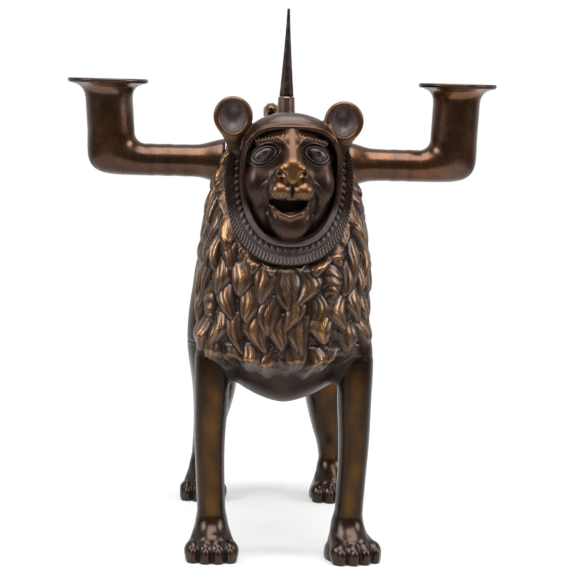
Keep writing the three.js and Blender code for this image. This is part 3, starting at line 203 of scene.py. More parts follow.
def skin(form, low, high, step, slack=3.0):
    """The closed skin of a form, found on a grid: corners in millimetres and faces with four sides."""
    block = 4
    low = np.asarray(low, float)
    blocks = np.ceil((np.asarray(high) - low) / step / block).astype(int)

    def corner_places(index):
        return [np.asarray(low[k] + index[k] * step, np.float32) for k in range(3)]

    middles = np.meshgrid(*(np.arange(n) * block + (block - 1) / 2 for n in blocks), indexing="ij")
    rough = form(*corner_places(middles))
    values = rough.repeat(block, 0).repeat(block, 1).repeat(block, 2).astype(np.float32)
    near = np.argwhere(np.abs(rough) < slack + block * step)
    inner = np.array(list(product(range(block), repeat=3)))
    index = (near[:, None, :] * block + inner[None]).reshape(-1, 3).T
    values[tuple(index)] = form(*corner_places(index))

    inside = values < 0
    size = np.array(inside.shape)
    total = np.zeros(size - 1, np.int8)
    for a, b, c in product((0, 1), repeat=3):
        total += inside[a:size[0] - 1 + a, b:size[1] - 1 + b, c:size[2] - 1 + c]
    cells = np.argwhere((total > 0) & (total < 8))
    number = np.full(total.shape, -1)
    number[tuple(cells.T)] = np.arange(len(cells))
    place, crossings = np.zeros((len(cells), 3)), np.zeros(len(cells))
    for axis in range(3):
        along = np.eye(3, dtype=int)[axis]
        for u, v in product((0, 1), repeat=2):
            start = u * np.roll(along, 1) + v * np.roll(along, 2)
            a, b = values[tuple((cells + start).T)], values[tuple((cells + start + along).T)]
            crosses = (a < 0) != (b < 0)
            share = np.where(crosses, a / np.where(crosses, a - b, 1), 0)
            place += (start + share[:, None] * along) * crosses[:, None]
            crossings += crosses
    points = low + (cells + place / crossings[:, None]) * step

    faces = []
    for axis in range(3):
        along = np.eye(3, dtype=int)[axis]
        u, v = np.roll(along, 1), np.roll(along, 2)
        lower = inside[tuple(slice(0, n - a) for n, a in zip(size, along))]
        upper = inside[tuple(slice(a, n) for n, a in zip(size, along))]
        edges = np.argwhere(lower != upper)
        edges = edges[((edges + along >= 1) & (edges <= size - 2)).all(1)]
        out = lower[tuple(edges.T)]
        around = np.stack([number[tuple((edges - back).T)] for back in (u + v, v, 0 * u, u)], 1)
        faces.append(np.where(out[:, None], around, around[:, ::-1]))
    points = points.astype(np.float32)
    for _ in range(2):
        distance = form(*points.T)
        reach = 0.25 * step
        slope = np.stack([(form(*(points + reach * e).T) - form(*(points - reach * e).T)) / (2 * reach)
                          for e in np.eye(3, dtype=np.float32)], 1)
        push = distance / np.maximum((slope ** 2).sum(1), 0.2)
        points -= np.clip(push[:, None] * slope, -0.5 * step, 0.5 * step)
    return points, np.concatenate(faces)


def directions(points, faces):
    """The outward direction of the skin at each corner."""
    crossing = np.cross(points[faces[:, 2]] - points[faces[:, 0]], points[faces[:, 3]] - points[faces[:, 1]])
    total = np.stack([np.bincount(faces.ravel(), np.repeat(crossing[:, k], faces.shape[1]), len(points))
                      for k in range(3)], 1)
    return total / np.maximum(np.linalg.norm(total, axis=1, keepdims=True), 1e-9)


def standing_out(points, faces, rounds=(2, 14)):
    """How far each corner stands proud of its surroundings, near and wide, in millimetres."""
    normals = directions(points, faces)
    ends = np.concatenate([faces[:, [0, 1]], faces[:, [1, 2]], faces[:, [2, 3]], faces[:, [3, 0]]])
    ends = np.concatenate([ends, ends[:, ::-1]])
    count = np.maximum(np.bincount(ends[:, 0], minlength=len(points)), 1)[:, None]
    spread, result = points.astype(float), []
    for turn in range(max(rounds)):
        beside = spread[ends[:, 1]]
        spread = np.stack([np.bincount(ends[:, 0], beside[:, k], len(points)) for k in range(3)], 1) / count
        if turn + 1 in rounds:
            result.append(((points - spread) * normals).sum(1))
    return result


def cast(name, points, faces, finish, replaces, rubbed_and_shine=0.0, others=(), keen=(2.2, 0.55), slot="bronze",
         **marks):
    """A piece that rides on the body and replaces CAD nodes, with marks of wear, painted highlight and
    painted sheen for its finish.

    Corners are in millimetres. Faces have four sides, and the others any number. How proud a corner stands of
    its near and wide surroundings is read as keenly as asked.
    """
    mesh = bpy.data.meshes.new(name)
    mesh.from_pydata((points * 0.001).tolist(), [], faces.tolist() + list(others))
    mesh.polygons.foreach_set("use_smooth", np.ones(len(mesh.polygons), bool))
    fine, wide = standing_out(points, faces)
    marks = {"edge": np.clip(fine * keen[0], -1, 1), "swell": np.clip(wide * keen[1], -1, 1),
             "rubbed_and_shine": held(rubbed_and_shine + np.zeros(len(points))), **marks}
    for mark, numbers in marks.items():
        mesh.attributes.new(mark, "FLOAT", "POINT").data.foreach_set("value", np.asarray(numbers, np.float32))
    mesh.materials.append(finish)
    piece = bpy.data.objects.new(name, mesh)
    bpy.context.scene.collection.objects.link(piece)
    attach(piece, "root")
    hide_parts(*replaces)


class Paint:
    """A socket of a material's nodes, so that shader maths reads as plain expressions."""

    def __init__(self, tree, socket):
        self.tree, self.socket = tree, socket

    def feed(self, made, **sockets):
        """A node's inputs, by their names, or by their places as at0, at1 and so on, take values or links."""
        for key, value in sockets.items():
            socket = made.inputs[int(key[2:]) if key.startswith("at") else key.replace("_", " ")]
            if isinstance(value, Paint):
                self.tree.links.new(value.socket, socket)
            else:
                socket.default_value = value

    def node(self, kind, settings=None, out=0, **sockets):
        """The output of a new node, whose settings are made before its inputs are fed."""
        made = self.tree.nodes.new(kind)
        for key, value in (settings or {}).items():
            setattr(made, key, value)
        self.feed(made, **sockets)
        return Paint(self.tree, made.outputs[out])

    def maths(self, operation, a, b=0.0, clamp=False):
        return self.node("ShaderNodeMath", {"operation": operation, "use_clamp": clamp}, at0=a, at1=b)

    def __add__(self, other):
        return self.maths("ADD", self, other)

    def __radd__(self, other):
        return self.maths("ADD", other, self)

    def __sub__(self, other):
        return self.maths("SUBTRACT", self, other)

    def __rsub__(self, other):
        return self.maths("SUBTRACT", other, self)

    def __mul__(self, other):
        return self.maths("MULTIPLY", self, other)

    def kept(self):
        """This number held between nought and one."""
        return self.maths("ADD", self, 0.0, clamp=True)

    def step(self, low, high):
        """Nought below the low number and one above the high one, with a soft change between."""
        soft = {"interpolation_type": "SMOOTHSTEP"}
        return self.node("ShaderNodeMapRange", soft, at0=self, at1=low, at2=high)

    def sine(self):
        return self.maths("SINE", self)

    def plain(self, colour):
        """A plain colour, for others to be mixed into."""
        made = self.node("ShaderNodeRGB")
        made.socket.default_value = (*colour, 1)
        return made

    def mix(self, share, colour):
        """This colour giving way to a plain one by a share."""
        return self.node("ShaderNodeMix", {"data_type": "RGBA"}, out=2, at0=share, at6=self, at7=(*colour, 1))


def new_finish(name):
    """A material with its Principled shader and a Paint that starts its expressions."""
    finish = bpy.data.materials.new(name)
    finish.use_nodes = True
    tree = finish.node_tree
    shader = tree.nodes["Principled BSDF"]
    return finish, shader, Paint(tree, None)


def bronze(name, dark, warm, gold, gold_share, roughness, grain=0.5, red=0.0, comb_depth=0.0,
           mauve_share=0.35, coat=0.25):
    """Old bronze: dark lacquer-like patina, warm brown where it thins, golden where hands have rubbed it and
    where a highlight is painted on.

    It follows the marks of a piece: edge and swell stand proud, one mark is handled wear with painted
    highlight, one is a matt grey tone with painted sheen, and comb counts the strands cut across a lock.
    """
    finish, shader, paint = new_finish(name)
    place = paint.node("ShaderNodeTexCoord", out=3)
    edge, swell, rubbed_and_shine, bare, comb = (paint.node("ShaderNodeAttribute", {"attribute_name": mark}, out=2)
                                       for mark in ("edge", "swell", "rubbed_and_shine", "bare", "comb"))
    cloud = paint.node("ShaderNodeTexNoise", Vector=place, Scale=38.0, Detail=5.0, Roughness=0.6)
    speck = paint.node("ShaderNodeTexNoise", Vector=place, Scale=240.0, Detail=4.0, Roughness=0.65)
    streak_place = paint.node("ShaderNodeMapping", Vector=place, Scale=(1.0, 1.0, 0.3))
    streak = paint.node("ShaderNodeTexNoise", Vector=streak_place, Scale=160.0, Detail=6.0, Roughness=0.7)
    # Golden gathers where edges and swells stand proud and where a piece is rubbed, and also where a
    # highlight is painted on.
    worn_and_shine = (swell * 0.75 + edge * 0.45 + rubbed_and_shine * 0.85 + (cloud - 0.5) * 0.9 + (speck - 0.5) * 0.45
            + (gold_share - 0.5) - bare * 0.8)
    golden = worn_and_shine.step(0.1, 0.75)
    thin = (worn_and_shine + (streak - 0.5) * 0.8).step(-0.55, 0.35)
    hollow = (edge * -1.3 - swell * 0.6 + (speck - 0.5) * 0.4).step(0.05, 0.8)
    colour = paint.plain(dark).mix(thin, warm)
    colour = colour.mix(golden * (0.45 + streak * 0.7).kept(), gold)
    if red:
        colour = colour.mix((cloud.step(0.5, 0.8) * red).kept(), (0.22, 0.055, 0.018))
    mauve = paint.node("ShaderNodeTexNoise", Vector=place, Scale=22.0, Detail=3.0)
    # The grey veil is a random mauve bloom on the patina, and a painted sheen where a piece marks it matt
    # grey.
    grey_veil_and_sheen = (mauve.step(0.5, 0.75) * (1 - golden) * mauve_share + bare * (0.35 + speck * 0.4)).kept()
    colour = colour.mix(grey_veil_and_sheen, (0.22, 0.165, 0.15))
    skin_height = speck * 0.35 + streak * 0.35
    if comb_depth:
        phase = comb * 5.2 + (streak - 0.5) * 2.2
        cut = phase.sine().step(-0.95, -0.25)
        hollow = (hollow + (1 - cut) * 0.55 * comb_depth).kept()
        skin_height = skin_height + cut * comb_depth
    colour = colour.mix((hollow * 0.92).kept(), (0.008, 0.005, 0.004))
    pits = paint.node("ShaderNodeTexVoronoi", {"feature": "F1"}, Vector=place, Scale=420.0)
    skin_height = skin_height + pits.step(0.0, 0.3) * 0.25
    bump = paint.node("ShaderNodeBump", Height=skin_height, Strength=0.16 + 0.2 * grain, Distance=0.0005)
    rough = roughness + hollow * 0.25 + (speck - 0.5) * 0.22 - golden * 0.06 + bare * 0.06
    paint.feed(shader, Base_Color=colour, Normal=bump, Metallic=(0.8 - bare * 0.55).kept(),
               Roughness=rough.kept(), Coat_Weight=coat, Coat_Roughness=0.22, IOR=1.5)
    return finish


body_bronze = bronze("body_bronze", dark=(0.012, 0.007, 0.005), warm=(0.036, 0.016, 0.007),
                     gold=(0.15, 0.073, 0.018), gold_share=0.3, roughness=0.36, mauve_share=0.1, coat=0.08)
FLANK_LEVEL, FLANK_SPREAD, SEAM_SPREAD = 180.0, 60.0, 1.6
points, faces = skin(trunk_with_neck, low=(-54, -96, 84), high=(54, 101, 240), step=1.3)
flank = held(1 - np.abs(points[:, 2] - FLANK_LEVEL) / FLANK_SPREAD)
seam = hump(points[:, 2] - HAUNCH_SEAT, SEAM_SPREAD) * (points[:, 1] > 30)
cast("body_shell_trunk", points, faces, body_bronze, ["body_shell"], rubbed_and_shine=0.25 * flank, bare=0.55 * seam)


# Mane: rows of pointed bronze locks, cast with the body on the chest, the shoulders and the nape.
# A chaser cut the strands. The bellies of the locks are golden, rubbed and with a painted highlight along
# each, and the cuts stay nearly black.
MANE_AXIS_Y = -44.0
MANE_LOW, MANE_HANGS_FROM, MANE_SHOULDER, MANE_CROWN = 98.0, 121.0, 196.0, 68.0
MANE_TILT, MANE_SIDE = radians(80), 2.62
BORDER_LOW, BORDER_RISE_LEFT, BORDER_RISE_RIGHT, BORDER_WAVE = 100.5, 3.5, 10.0, 1.6
ROW_FOOT, ROW_HEIGHT, ROWS = 103.0, 13.556, 12
LOCKS_AROUND, LOCK_LONGEST = 26, 23.5
LOCK_RELIEF, FURROW_RELIEF = 4.1, 0.7
MANE_BELT, CROWN_BELT = 48, 33
MIDDLE_TURN, FACE_SIDE = 0.05, 1.35
EARS, EAR_ROOM = ((-30.5, 30.6), (27.0, 29.4)), 11.0
TURNS, WAYS = 560, 330
random = np.random.default_rng(7)


def mane_ray(turn, way):
    """Level and direction of the line out of the body at a turn from the front and a way up the mane."""
    tilt = held((way - MANE_SHOULDER) / MANE_CROWN) * MANE_TILT
    out = (np.sin(turn) * np.cos(tilt), -np.cos(turn) * np.cos(tilt), np.sin(tilt))
    return np.minimum(way, MANE_SHOULDER), out


def mane_reach(turn, way, least_level):
    """How far the trunk reaches along each line of the mane. Below a level the locks hang straight down."""
    level, out = mane_ray(turn, way)
    start = np.maximum(level, least_level)

    def depth(reach):
        places = (out[0] * reach, MANE_AXIS_Y + out[1] * reach, start + out[2] * reach)
        return trunk(*(np.float32(v) for v in places))

    reach = np.zeros_like(turn)
    for distance in np.arange(4, 76, 1.0):
        reach = np.where(depth(distance) < 0, distance, reach)
    for _ in range(7):
        reach = reach - depth(reach) * 0.8
    return reach


def finer(grid, rough_turns, rough_ways, turns, ways):
    """A grid of numbers read again at closer turns and ways."""
    grid = np.stack([np.interp(turns, rough_turns, column) for column in grid.T], 1)
    return np.stack([np.interp(ways, rough_ways, row) for row in grid])


def lock(share, off, i, half, lift, bend, hook, strands, feathered):
    """A bent leaf with cut strands, from root to tip: height, way across, painted shine along its belly, and
    where it lies.
    """
    inside = held(share)
    across = off - (bend * np.sin(4.4 * inside) + hook * inside ** 2)
    leaf = np.sin(pi * held(0.17 + 0.83 * inside) ** 0.85) ** 0.8
    t = across / np.maximum(half * leaf, 0.05)
    belly = held(1 - np.abs(t) ** 2.1) ** 0.62
    rise = 0.3 + 0.75 * np.sin(pi * held(0.05 + 0.72 * inside)) ** 1.2
    tip = held((1 - share) / 0.1) ** 0.5
    form = lift * LOCK_RELIEF * rise * tip * (0.18 + 0.82 * belly)
    if feathered:
        phase = 4.5 * inside - 1.0 * np.abs(t) ** 1.5 + 0.3 * np.sin(3 * t + i)
    else:
        phase = (t * 0.5 + 0.5 + 0.1 * np.sin(5 * inside + i)) * strands
    grooves = 0.5 + 0.5 * np.cos(2 * pi * phase)
    form -= 0.5 * grooves ** 3 * held(4 * inside) * held((1 - inside) * 5)
    shine = held(1.1 - np.abs(t) * 1.25) ** 0.6 * held(np.sin(pi * inside ** 0.75))
    there = (np.abs(t) < 1) & (share > -0.02) & (share < 1)
    return form, across + 0.7 * np.sin(9 * inside), (shine - 0.3 * grooves) * lift, there


turns = np.linspace(-MANE_SIDE, MANE_SIDE, TURNS)
ways = np.linspace(MANE_LOW, MANE_SHOULDER + MANE_CROWN, WAYS)
rough_turns, rough_ways = turns[::4], ways[::4]
rough = np.meshgrid(rough_turns, rough_ways, indexing="ij")
hanging, close_in = (
    finer(mane_reach(*rough, least), rough_turns, rough_ways, turns, ways)
    for least in (MANE_HANGS_FROM, MANE_LOW)
)
turn, way = np.meshgrid(turns, ways, indexing="ij")
rise = np.where(turn > MIDDLE_TURN, BORDER_RISE_RIGHT, BORDER_RISE_LEFT)
border = (BORDER_LOW + rise * held((np.abs(turn - MIDDLE_TURN) - 0.25) / 0.5) ** 1.5
          + BORDER_WAVE * np.sin(turn * 19) * np.sin(turn * 7))
loose = held((way - border) / 9)
reach = close_in + (hanging - close_in) * loose ** 2 * (3 - 2 * loose)
level, out = mane_ray(turn, way)

belt_at = MANE_BELT * np.cos(held((ways - MANE_SHOULDER) / MANE_CROWN) * MANE_TILT)
comb = turn * 47 + 1.5 * np.sin(way * 0.42 + turn * 9) + 0.8 * np.sin(way * 0.9 - turn * 17)
height = (FURROW_RELIEF + 0.25 * np.sin(comb * 2 * pi / 2.5) + 0.3 * np.sin(turn * 23 + way * 0.31)
          + 0.25 * np.sin(way * 0.8 + 3 * np.sin(turn * 13)))
golden = np.zeros(turn.shape)
for row in range(ROWS):
    row_top = ROW_FOOT + ROW_HEIGHT * (row + 1)
    for i in range(row % 2, 2 * LOCKS_AROUND, 2):
        middle = pi * (i + 0.5) / LOCKS_AROUND - pi + 0.022 * sin(2.9 * i + 1.7 * row)
        root = row_top + random.uniform(-0.5, 5.5)
        length = random.uniform(17.0, LOCK_LONGEST)
        half = random.uniform(5.4, 7.9)
        lift = random.uniform(0.75, 1.2)
        bend = random.uniform(0.8, 2.6) * random.choice((-1, 1))
        hook = random.uniform(-4.5, 4.5)
        strands = random.choice((3, 3, 4))
        feathered = random.random() < 0.12
        belt = float(np.interp(root - 10, ways, belt_at))
        if abs(middle) > MANE_SIDE - 0.1 or (belt < CROWN_BELT and i % 4 < 2):
            continue
        columns = slice(*np.searchsorted(ways, (root - length, root + 1)))
        lines = slice(*np.searchsorted(turns, (middle - 14 / belt, middle + 14 / belt)))
        off = (turn[lines, columns] - middle) * belt
        share = (root - way[lines, columns]) / length
        form, strand, shine, there = lock(share, off, i, half, lift, bend, hook, strands, feathered)
        over = there & (form > height[lines, columns])
        for grid, numbers in ((height, form), (comb, strand), (golden, shine)):
            grid[lines, columns][over] = numbers[over]

rim_x, rim_level = out[0] * reach, level + out[2] * reach
beside_ruff = ruff_edge(rim_x, rim_level - HEAD_LEVEL)
for ear_x, ear_rise in EARS:
    beside_ear = np.hypot(rim_x - ear_x, rim_level - HEAD_LEVEL - ear_rise) - EAR_ROOM
    beside_ruff = np.minimum(beside_ruff, beside_ear)
in_front = np.abs(turn) < FACE_SIDE
clear = np.where(in_front, held((beside_ruff - 0.2) / 3.2), 1)
ends = held((MANE_SIDE - 0.2 - np.abs(turn)) / 0.2) * held((way - border) / 7) ** 0.8
crown = np.clip((262 - way) / 30, 0.25, 1)
fringe = held((border + 9 - way) / 7)
curls = 0.8 + 0.5 * np.sin((turn * 47 + 2.2 * np.sin(way * 0.33 + 4 * np.sin(turn * 5))) * 2 * pi / 2.3)
height = height + (np.minimum(height, curls) - height) * fringe
golden *= 1 - 0.75 * fringe
beside = held((np.abs(turn) - 0.6) / 0.4)
height *= 1 - 0.75 * held((border + 17 - way) / 14) * beside - 0.3 * held((turn - 0.9) / 0.3)
height = height * crown * clear * ends + 0.25 * (1 - clear) - 1.5 * held(-beside_ruff) * in_front
height -= 2.2 * held((border - way) / 4) + 1.8 * held((np.abs(turn) - MANE_SIDE + 0.2) / 0.2)
height[:, 0] = height[0] = height[-1] = -2.5
for _ in range(2):
    height[1:-1, 1:-1] = (0.68 * height[1:-1, 1:-1] + 0.08 * (height[:-2, 1:-1] + height[2:, 1:-1]
                          + height[1:-1, :-2] + height[1:-1, 2:]))


def mane_places(turn, way, radius):
    """Places at a distance along the lines of the mane."""
    level, out = mane_ray(turn, way)
    return np.stack([out[0] * radius, MANE_AXIS_Y + out[1] * radius, level + out[2] * radius], -1)


def plate_on(front, back, stride):
    """A closed plate: a fine grid of corners in front, and behind it one with every so many of its rows."""
    lines, columns = front.shape[:2]
    kept = list(range(0, columns - 1, stride)) + [columns - 1]
    number = np.arange(lines * columns).reshape(lines, columns)
    behind = lines * columns + np.arange(lines * len(kept)).reshape(lines, len(kept))
    quads = np.stack([number[:-1, :-1], number[1:, :-1], number[1:, 1:], number[:-1, 1:]], -1).reshape(-1, 4)
    backs = np.stack([behind[:-1, :-1], behind[:-1, 1:], behind[1:, 1:], behind[1:, :-1]], -1).reshape(-1, 4)
    low = np.stack([number[1:, 0], number[:-1, 0], behind[:-1, 0], behind[1:, 0]], 1)
    top = np.stack([number[:-1, -1], number[1:, -1], behind[1:, -1], behind[:-1, -1]], 1)
    strips = []
    for k, (a, b) in enumerate(zip(kept[:-1], kept[1:])):
        strips.append(list(number[0, a:b + 1]) + [behind[0, k + 1], behind[0, k]])
        strips.append(list(number[-1, b:a - 1 if a else None:-1]) + [behind[-1, k], behind[-1, k + 1]])
    points = np.concatenate([front.reshape(-1, 3), back[:, kept].reshape(-1, 3)])
    return points, np.concatenate([quads, backs, low, top]), strips


mane_bronze = bronze("mane_bronze", dark=(0.026, 0.016, 0.013), warm=(0.13, 0.068, 0.038),
                     gold=(0.36, 0.18, 0.05), gold_share=0.27, roughness=0.3, grain=1.0, comb_depth=0.4)
front, back = mane_places(turn, way, reach + height), mane_places(turn, way, reach - 3)
points, faces, strips = plate_on(front, back, 27)
behind = (0, len(points) - golden.size)
# The golden on the locks is their rubbed bellies together with a painted highlight along them.
golden, comb = np.pad(golden.ravel() * 0.78 - 0.1, behind), np.pad(comb.ravel(), behind)
cast("body_shell_mane", points, faces, mane_bronze, ["body_shell"], golden, strips, comb=comb)


# Legs: four bronze castings, long shins with a soft front edge on paws of four toes.
# Each is set into the body on a tenon, which a cross pin holds.
leg_bronze = bronze("leg_bronze", dark=(0.007, 0.004, 0.002), warm=(0.028, 0.012, 0.003),
                    gold=(0.1, 0.041, 0.004), gold_share=0.42, roughness=0.26, mauve_share=0.05, coat=0.06)
PAW_LENGTH, PAW_WIDTH, TOES = 31.0, 27.0, 4


def paw(x, y, z, heel):
    """A paw about its leg's axis, looking along -y, with the heel at the given place."""
    toe_width = PAW_WIDTH / TOES
    form = egg(x, y, z, (0, heel - 12.5, 3.0), (13.2, 14.0, 11.5))
    form = weld(form, rod(x, y, z, (0, heel - 8.5, 17), (0, heel - 18, 8.5), 7.2, 8.2), 6.0)
    for k in range(TOES):
        place = k - (TOES - 1) / 2
        reach = heel - PAW_LENGTH + place * place * 1.1
        knuckle = (place * toe_width * 0.62, reach + 18, 13.5)
        tip = (place * toe_width * 0.96, reach + 7.5, 6.4)
        pad = egg(x, y, z, (tip[0], reach + 5.6, 3.6), (4.1, 5.4, 7.2))
        nail = egg(x, y, z, (tip[0], reach + 2.5, 4.2), (2.5, 3.2, 5.0))
        toe = weld(rod(x, y, z, knuckle, tip, 2.6, 4.3), pad, 3.0)
        form = np.minimum(weld(form, toe, 1.0), nail)
    return np.maximum(form, -z)


def leg(x, y, z, side, rows, foot_x, foot_y, turn, top):
    """A shank on its paw, which turns outward. Above the body's edge it draws back under the trunk's skin."""
    base_x, base_y = side * (foot_x + rows["x"][0]), foot_y + rows["y"][0]
    heel = rows["half_y"][0] + 2
    dx, dy = x - base_x, y - base_y
    c, s = cos(turn * side), sin(turn * side)
    form = paw(dx * c + dy * s, dy * c - dx * s, z, heel)
    sunk = held((z - top + 8) / 6) * (1.0 if top > LEG_LEVEL else 0.0)
    form = weld(form, shank(x, y, z, side, rows, foot_x, foot_y, -sunk), 5.0)
    return np.maximum(form, z - top)


for name, side, rows, foot_x, foot_y, turn, top in (
    ("front_leg_left", -1, FRONT_LEG, FRONT_LEG_X, FRONT_LEG_Y, 0.0, 116),
    ("front_leg_right", 1, FRONT_LEG, FRONT_LEG_X, FRONT_LEG_Y, 0.32, 116),
    ("rear_leg_left", -1, REAR_LEG, REAR_LEG_X, REAR_LEG_Y, 0.0, 97.85),
    ("rear_leg_right", 1, REAR_LEG, REAR_LEG_X, REAR_LEG_Y, 0.12, 97.85),
):
    low, high = (np.array(corner) * 1000 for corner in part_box(name))
    high[2] = top
    points, faces = skin(lambda x, y, z: leg(x, y, z, side, rows, foot_x, foot_y, turn, top),
                         low - 3, high + 3, step=0.62)
    across, level = points[:, 0], points[:, 2]
    middle = side * (foot_x + smooth_line(level / LEG_LEVEL, rows["level"], rows["x"]))
    # A golden band down the front of each shin: rubbed wear, and partly a painted highlight.
    facing = held(-directions(points, faces)[:, 1]) * (level > 12)
    facing *= hump(np.abs(across - middle), 6.2, 2.6) * held((top + 2 - level) / 16)
    mottle = 0.8 + 0.2 * np.sin(level * 0.21 + side) * np.sin(level * 0.083 + across * 0.3 + 1)
    matt = 0.14 * held((26 - level) / 9) + 0.55 * hump(level - top, SEAM_SPREAD)
    cast(name, points, faces, leg_bronze, [name], rubbed_and_shine=facing * mottle * 0.95 - 0.22, bare=matt)


# Head: a bronze casting of its own that closes the neck, on a tenon with two pins through it.
# A hood frames the modelled face and runs down into a smooth collar, with a cupped ear at each side.
RUFF_LEAN, RUFF_LEAN_OVER = 13.0, 45.5
FACE_X, FACE_HALF = -0.6, 22.9
EYES = ((-14.6, 11.4, -1, 0.33), (12.5, 12.0, 1, 0.24))
EAR_CUPS = ((6.4, 8.1), (6.1, 7.7))
MOUTH_X, MOUTH_H, MOUTH_HALF, MOUTH_RISE = -1.2, -13.9, 9.8, 2.9
HOOD_OUT = (-1, 4, 8, 12, 16, 20, 24)
HOOD_TOP = (31.0, 32.3, 32.0, 30.6, 28.2, 26.6, 25.4)
HOOD_HALF = (26.4, 26.8, 26.6, 25.9, 24.8, 23.6, 22.6)


def lean_out(h):
    """How far the plate of the ruff leans forward at a height on the head."""
    return RUFF_LEAN * held(-h / RUFF_LEAN_OVER)


def rim_out(h):
    """How far forward the crest of the hood and collar stands at a height on the head."""
    return smooth_line(h, (-38, -30, -15, 0, 10, 19, 26), (20.6, 18.8, 14.6, 12.8, 14.8, 18.6, 20.6))


def hood_form(x, o, h):
    """The dome of the hood. Its edge lies far forward over the brow and further back beside the cheeks."""
    top, half = smooth_line(o, HOOD_OUT, HOOD_TOP), smooth_line(o, HOOD_OUT, HOOD_HALF)
    dome = section(x - FACE_X, h, half, top, 33.0, 2.8, 2.3) * 0.85
    return np.maximum(dome, np.maximum(o - rim_out(h) + 0.5, -o))


def ear_form(x, o, h, ear_x, ear_rise, cup_half, cup_tall):
    """A round ear with a rolled rim, hollowed to the front, on a stem that runs down into the hood."""
    ex, eh = x - ear_x, h - ear_rise
    shell = egg(ex, o, eh, (0, 4.6, 0), (10.0, 5.6, 9.9))
    rolled = np.sqrt(section(ex, eh, 8.6, 8.7, 9.0, 2, 2) ** 2 + (o - 8.0) ** 2) - 1.55
    stem = rod(ex, o, eh, (0, 4.6, -6.5), (-0.08 * ear_x, 5.2, -16.5), 6.2, 4.4)
    form = weld(weld(shell, rolled, 1.6), stem, 3.0)
    return scoop(form, egg(ex, o, eh, (0, 10.6, -0.2), (cup_half + 0.5, 7.4, cup_tall + 0.5)), 0.7)


def mouth_outline(fx, h):
    """Distance from the edge of the open mouth, a flat crescent whose corners turn up."""
    bow = h - MOUTH_H - 0.022 * (fx - MOUTH_X) ** 2
    return (np.sqrt(((fx - MOUTH_X) / MOUTH_HALF) ** 2 + (bow / MOUTH_RISE) ** 2) - 1) * MOUTH_RISE


def face_form(x, o, h):
    """The face: a broad pillow inside the hood, with brows, round lids, a long nose and an open mouth."""
    fx = x - FACE_X
    above, below = (
        (np.abs(fx / FACE_HALF) ** power + np.abs(h / tall) ** power) ** (1 / power)
        for tall, power in ((33.0, 2.6), (33.2, 2.3))
    )
    outline = np.where(h > 0, above, below)
    forward = np.maximum(o - 8, 0) / smooth_line(h, (-32, -20, 0, 14, 24), (17.5, 16.5, 14.8, 14.6, 14.6))
    face = ((outline ** 2.5 + forward ** 2.5) ** (1 / 2.5) - 1) * 16
    muzzle = egg(fx, o, h, (0, 23.0, -5.5), (12.6, 12.6, 10.5))
    bridge = rod(fx, o, h, (0, 20.0, 22), (0.2, 32.4, 6.5), 3.8, 5.6)
    forehead = egg(fx, o, h, (0, 14.5, 19.5), (18.0, 6.2, 6.8))
    chin = egg(fx, o, h, (0, 22.6, -21.0), (11.0, 9.0, 9.5))
    chin_point = egg(fx, o, h, (0.3, 25.4, -26.0), (6.8, 5.6, 5.6))
    for form, fillet in ((muzzle, 5.0), (bridge, 3.5), (forehead, 3.0), (chin, 3.5), (chin_point, 3.0)):
        face = weld(face, form, fillet)
    for eye_x, eye_h, side, slant in EYES:
        ex = x - eye_x
        rise = h - eye_h + slant * ex * side
        face = weld(face, rod(fx, o, h, (side * 4.5, 23.0, 19.6), (side * 17, 19.0, 18.0), 2.5, 1.7), 2.6)
        face = weld(face, egg(fx, o, h, (side * 16.0, 15.6, -3.5), (6.6, 7.0, 9.5)), 3.0)
        face = scoop(face, egg(ex, o, rise, (0, 24.9, 0), (8.7, 5.2, 6.9)), 1.6)
        face = weld(face, egg(ex, o, rise, (-0.2 * side, 15.4, 0), (7.6, 6.9, 6.0)), 0.7)
        face = weld(face, egg(fx, o, h, (side * 5.7, 31.6, -6.0), (5.9, 6.2, 5.3)), 1.0)
    nose = egg(fx, o, h, (0, 32.4, 3.4), (6.4, 5.4, 4.6))
    nose = weld(nose, egg(fx, o, h, (0.1, 34.6, 0.6), (3.2, 3.5, 4.0)), 1.8)
    for side in (-1, 1):
        nose = weld(nose, egg(fx, o, h, (side * 3.5, 34.3, 5.2), (3.7, 3.7, 3.2)), 1.2)
        nose = weld(nose, egg(fx, o, h, (side * 6.3, 31.8, 2.6), (2.2, 3.4, 2.6)), 0.9)
    face = weld(face, nose, 0.9)
    for side in (-1, 1):
        face = scoop(face, rod(fx, o, h, (side * 3.6, 37.2, 0.8), (side * 5.9, 35.6, 3.2), 1.0, 2.0), 0.5)
    face = scoop(face, np.maximum(mouth_outline(fx, h), 19.0 - o), 0.9)
    lip = [(-8.8, 28.6, -15.2), (-5.6, 30.2, -18.3), (-0.4, 31.0, -20.0), (5.0, 30.2, -18.1),
           (7.8, 28.6, -15.0)]
    for start, end in zip(lip[:-1], lip[1:]):
        face = weld(face, rod(fx, o, h, start, end, 1.6, 1.6), 0.8)
    return face


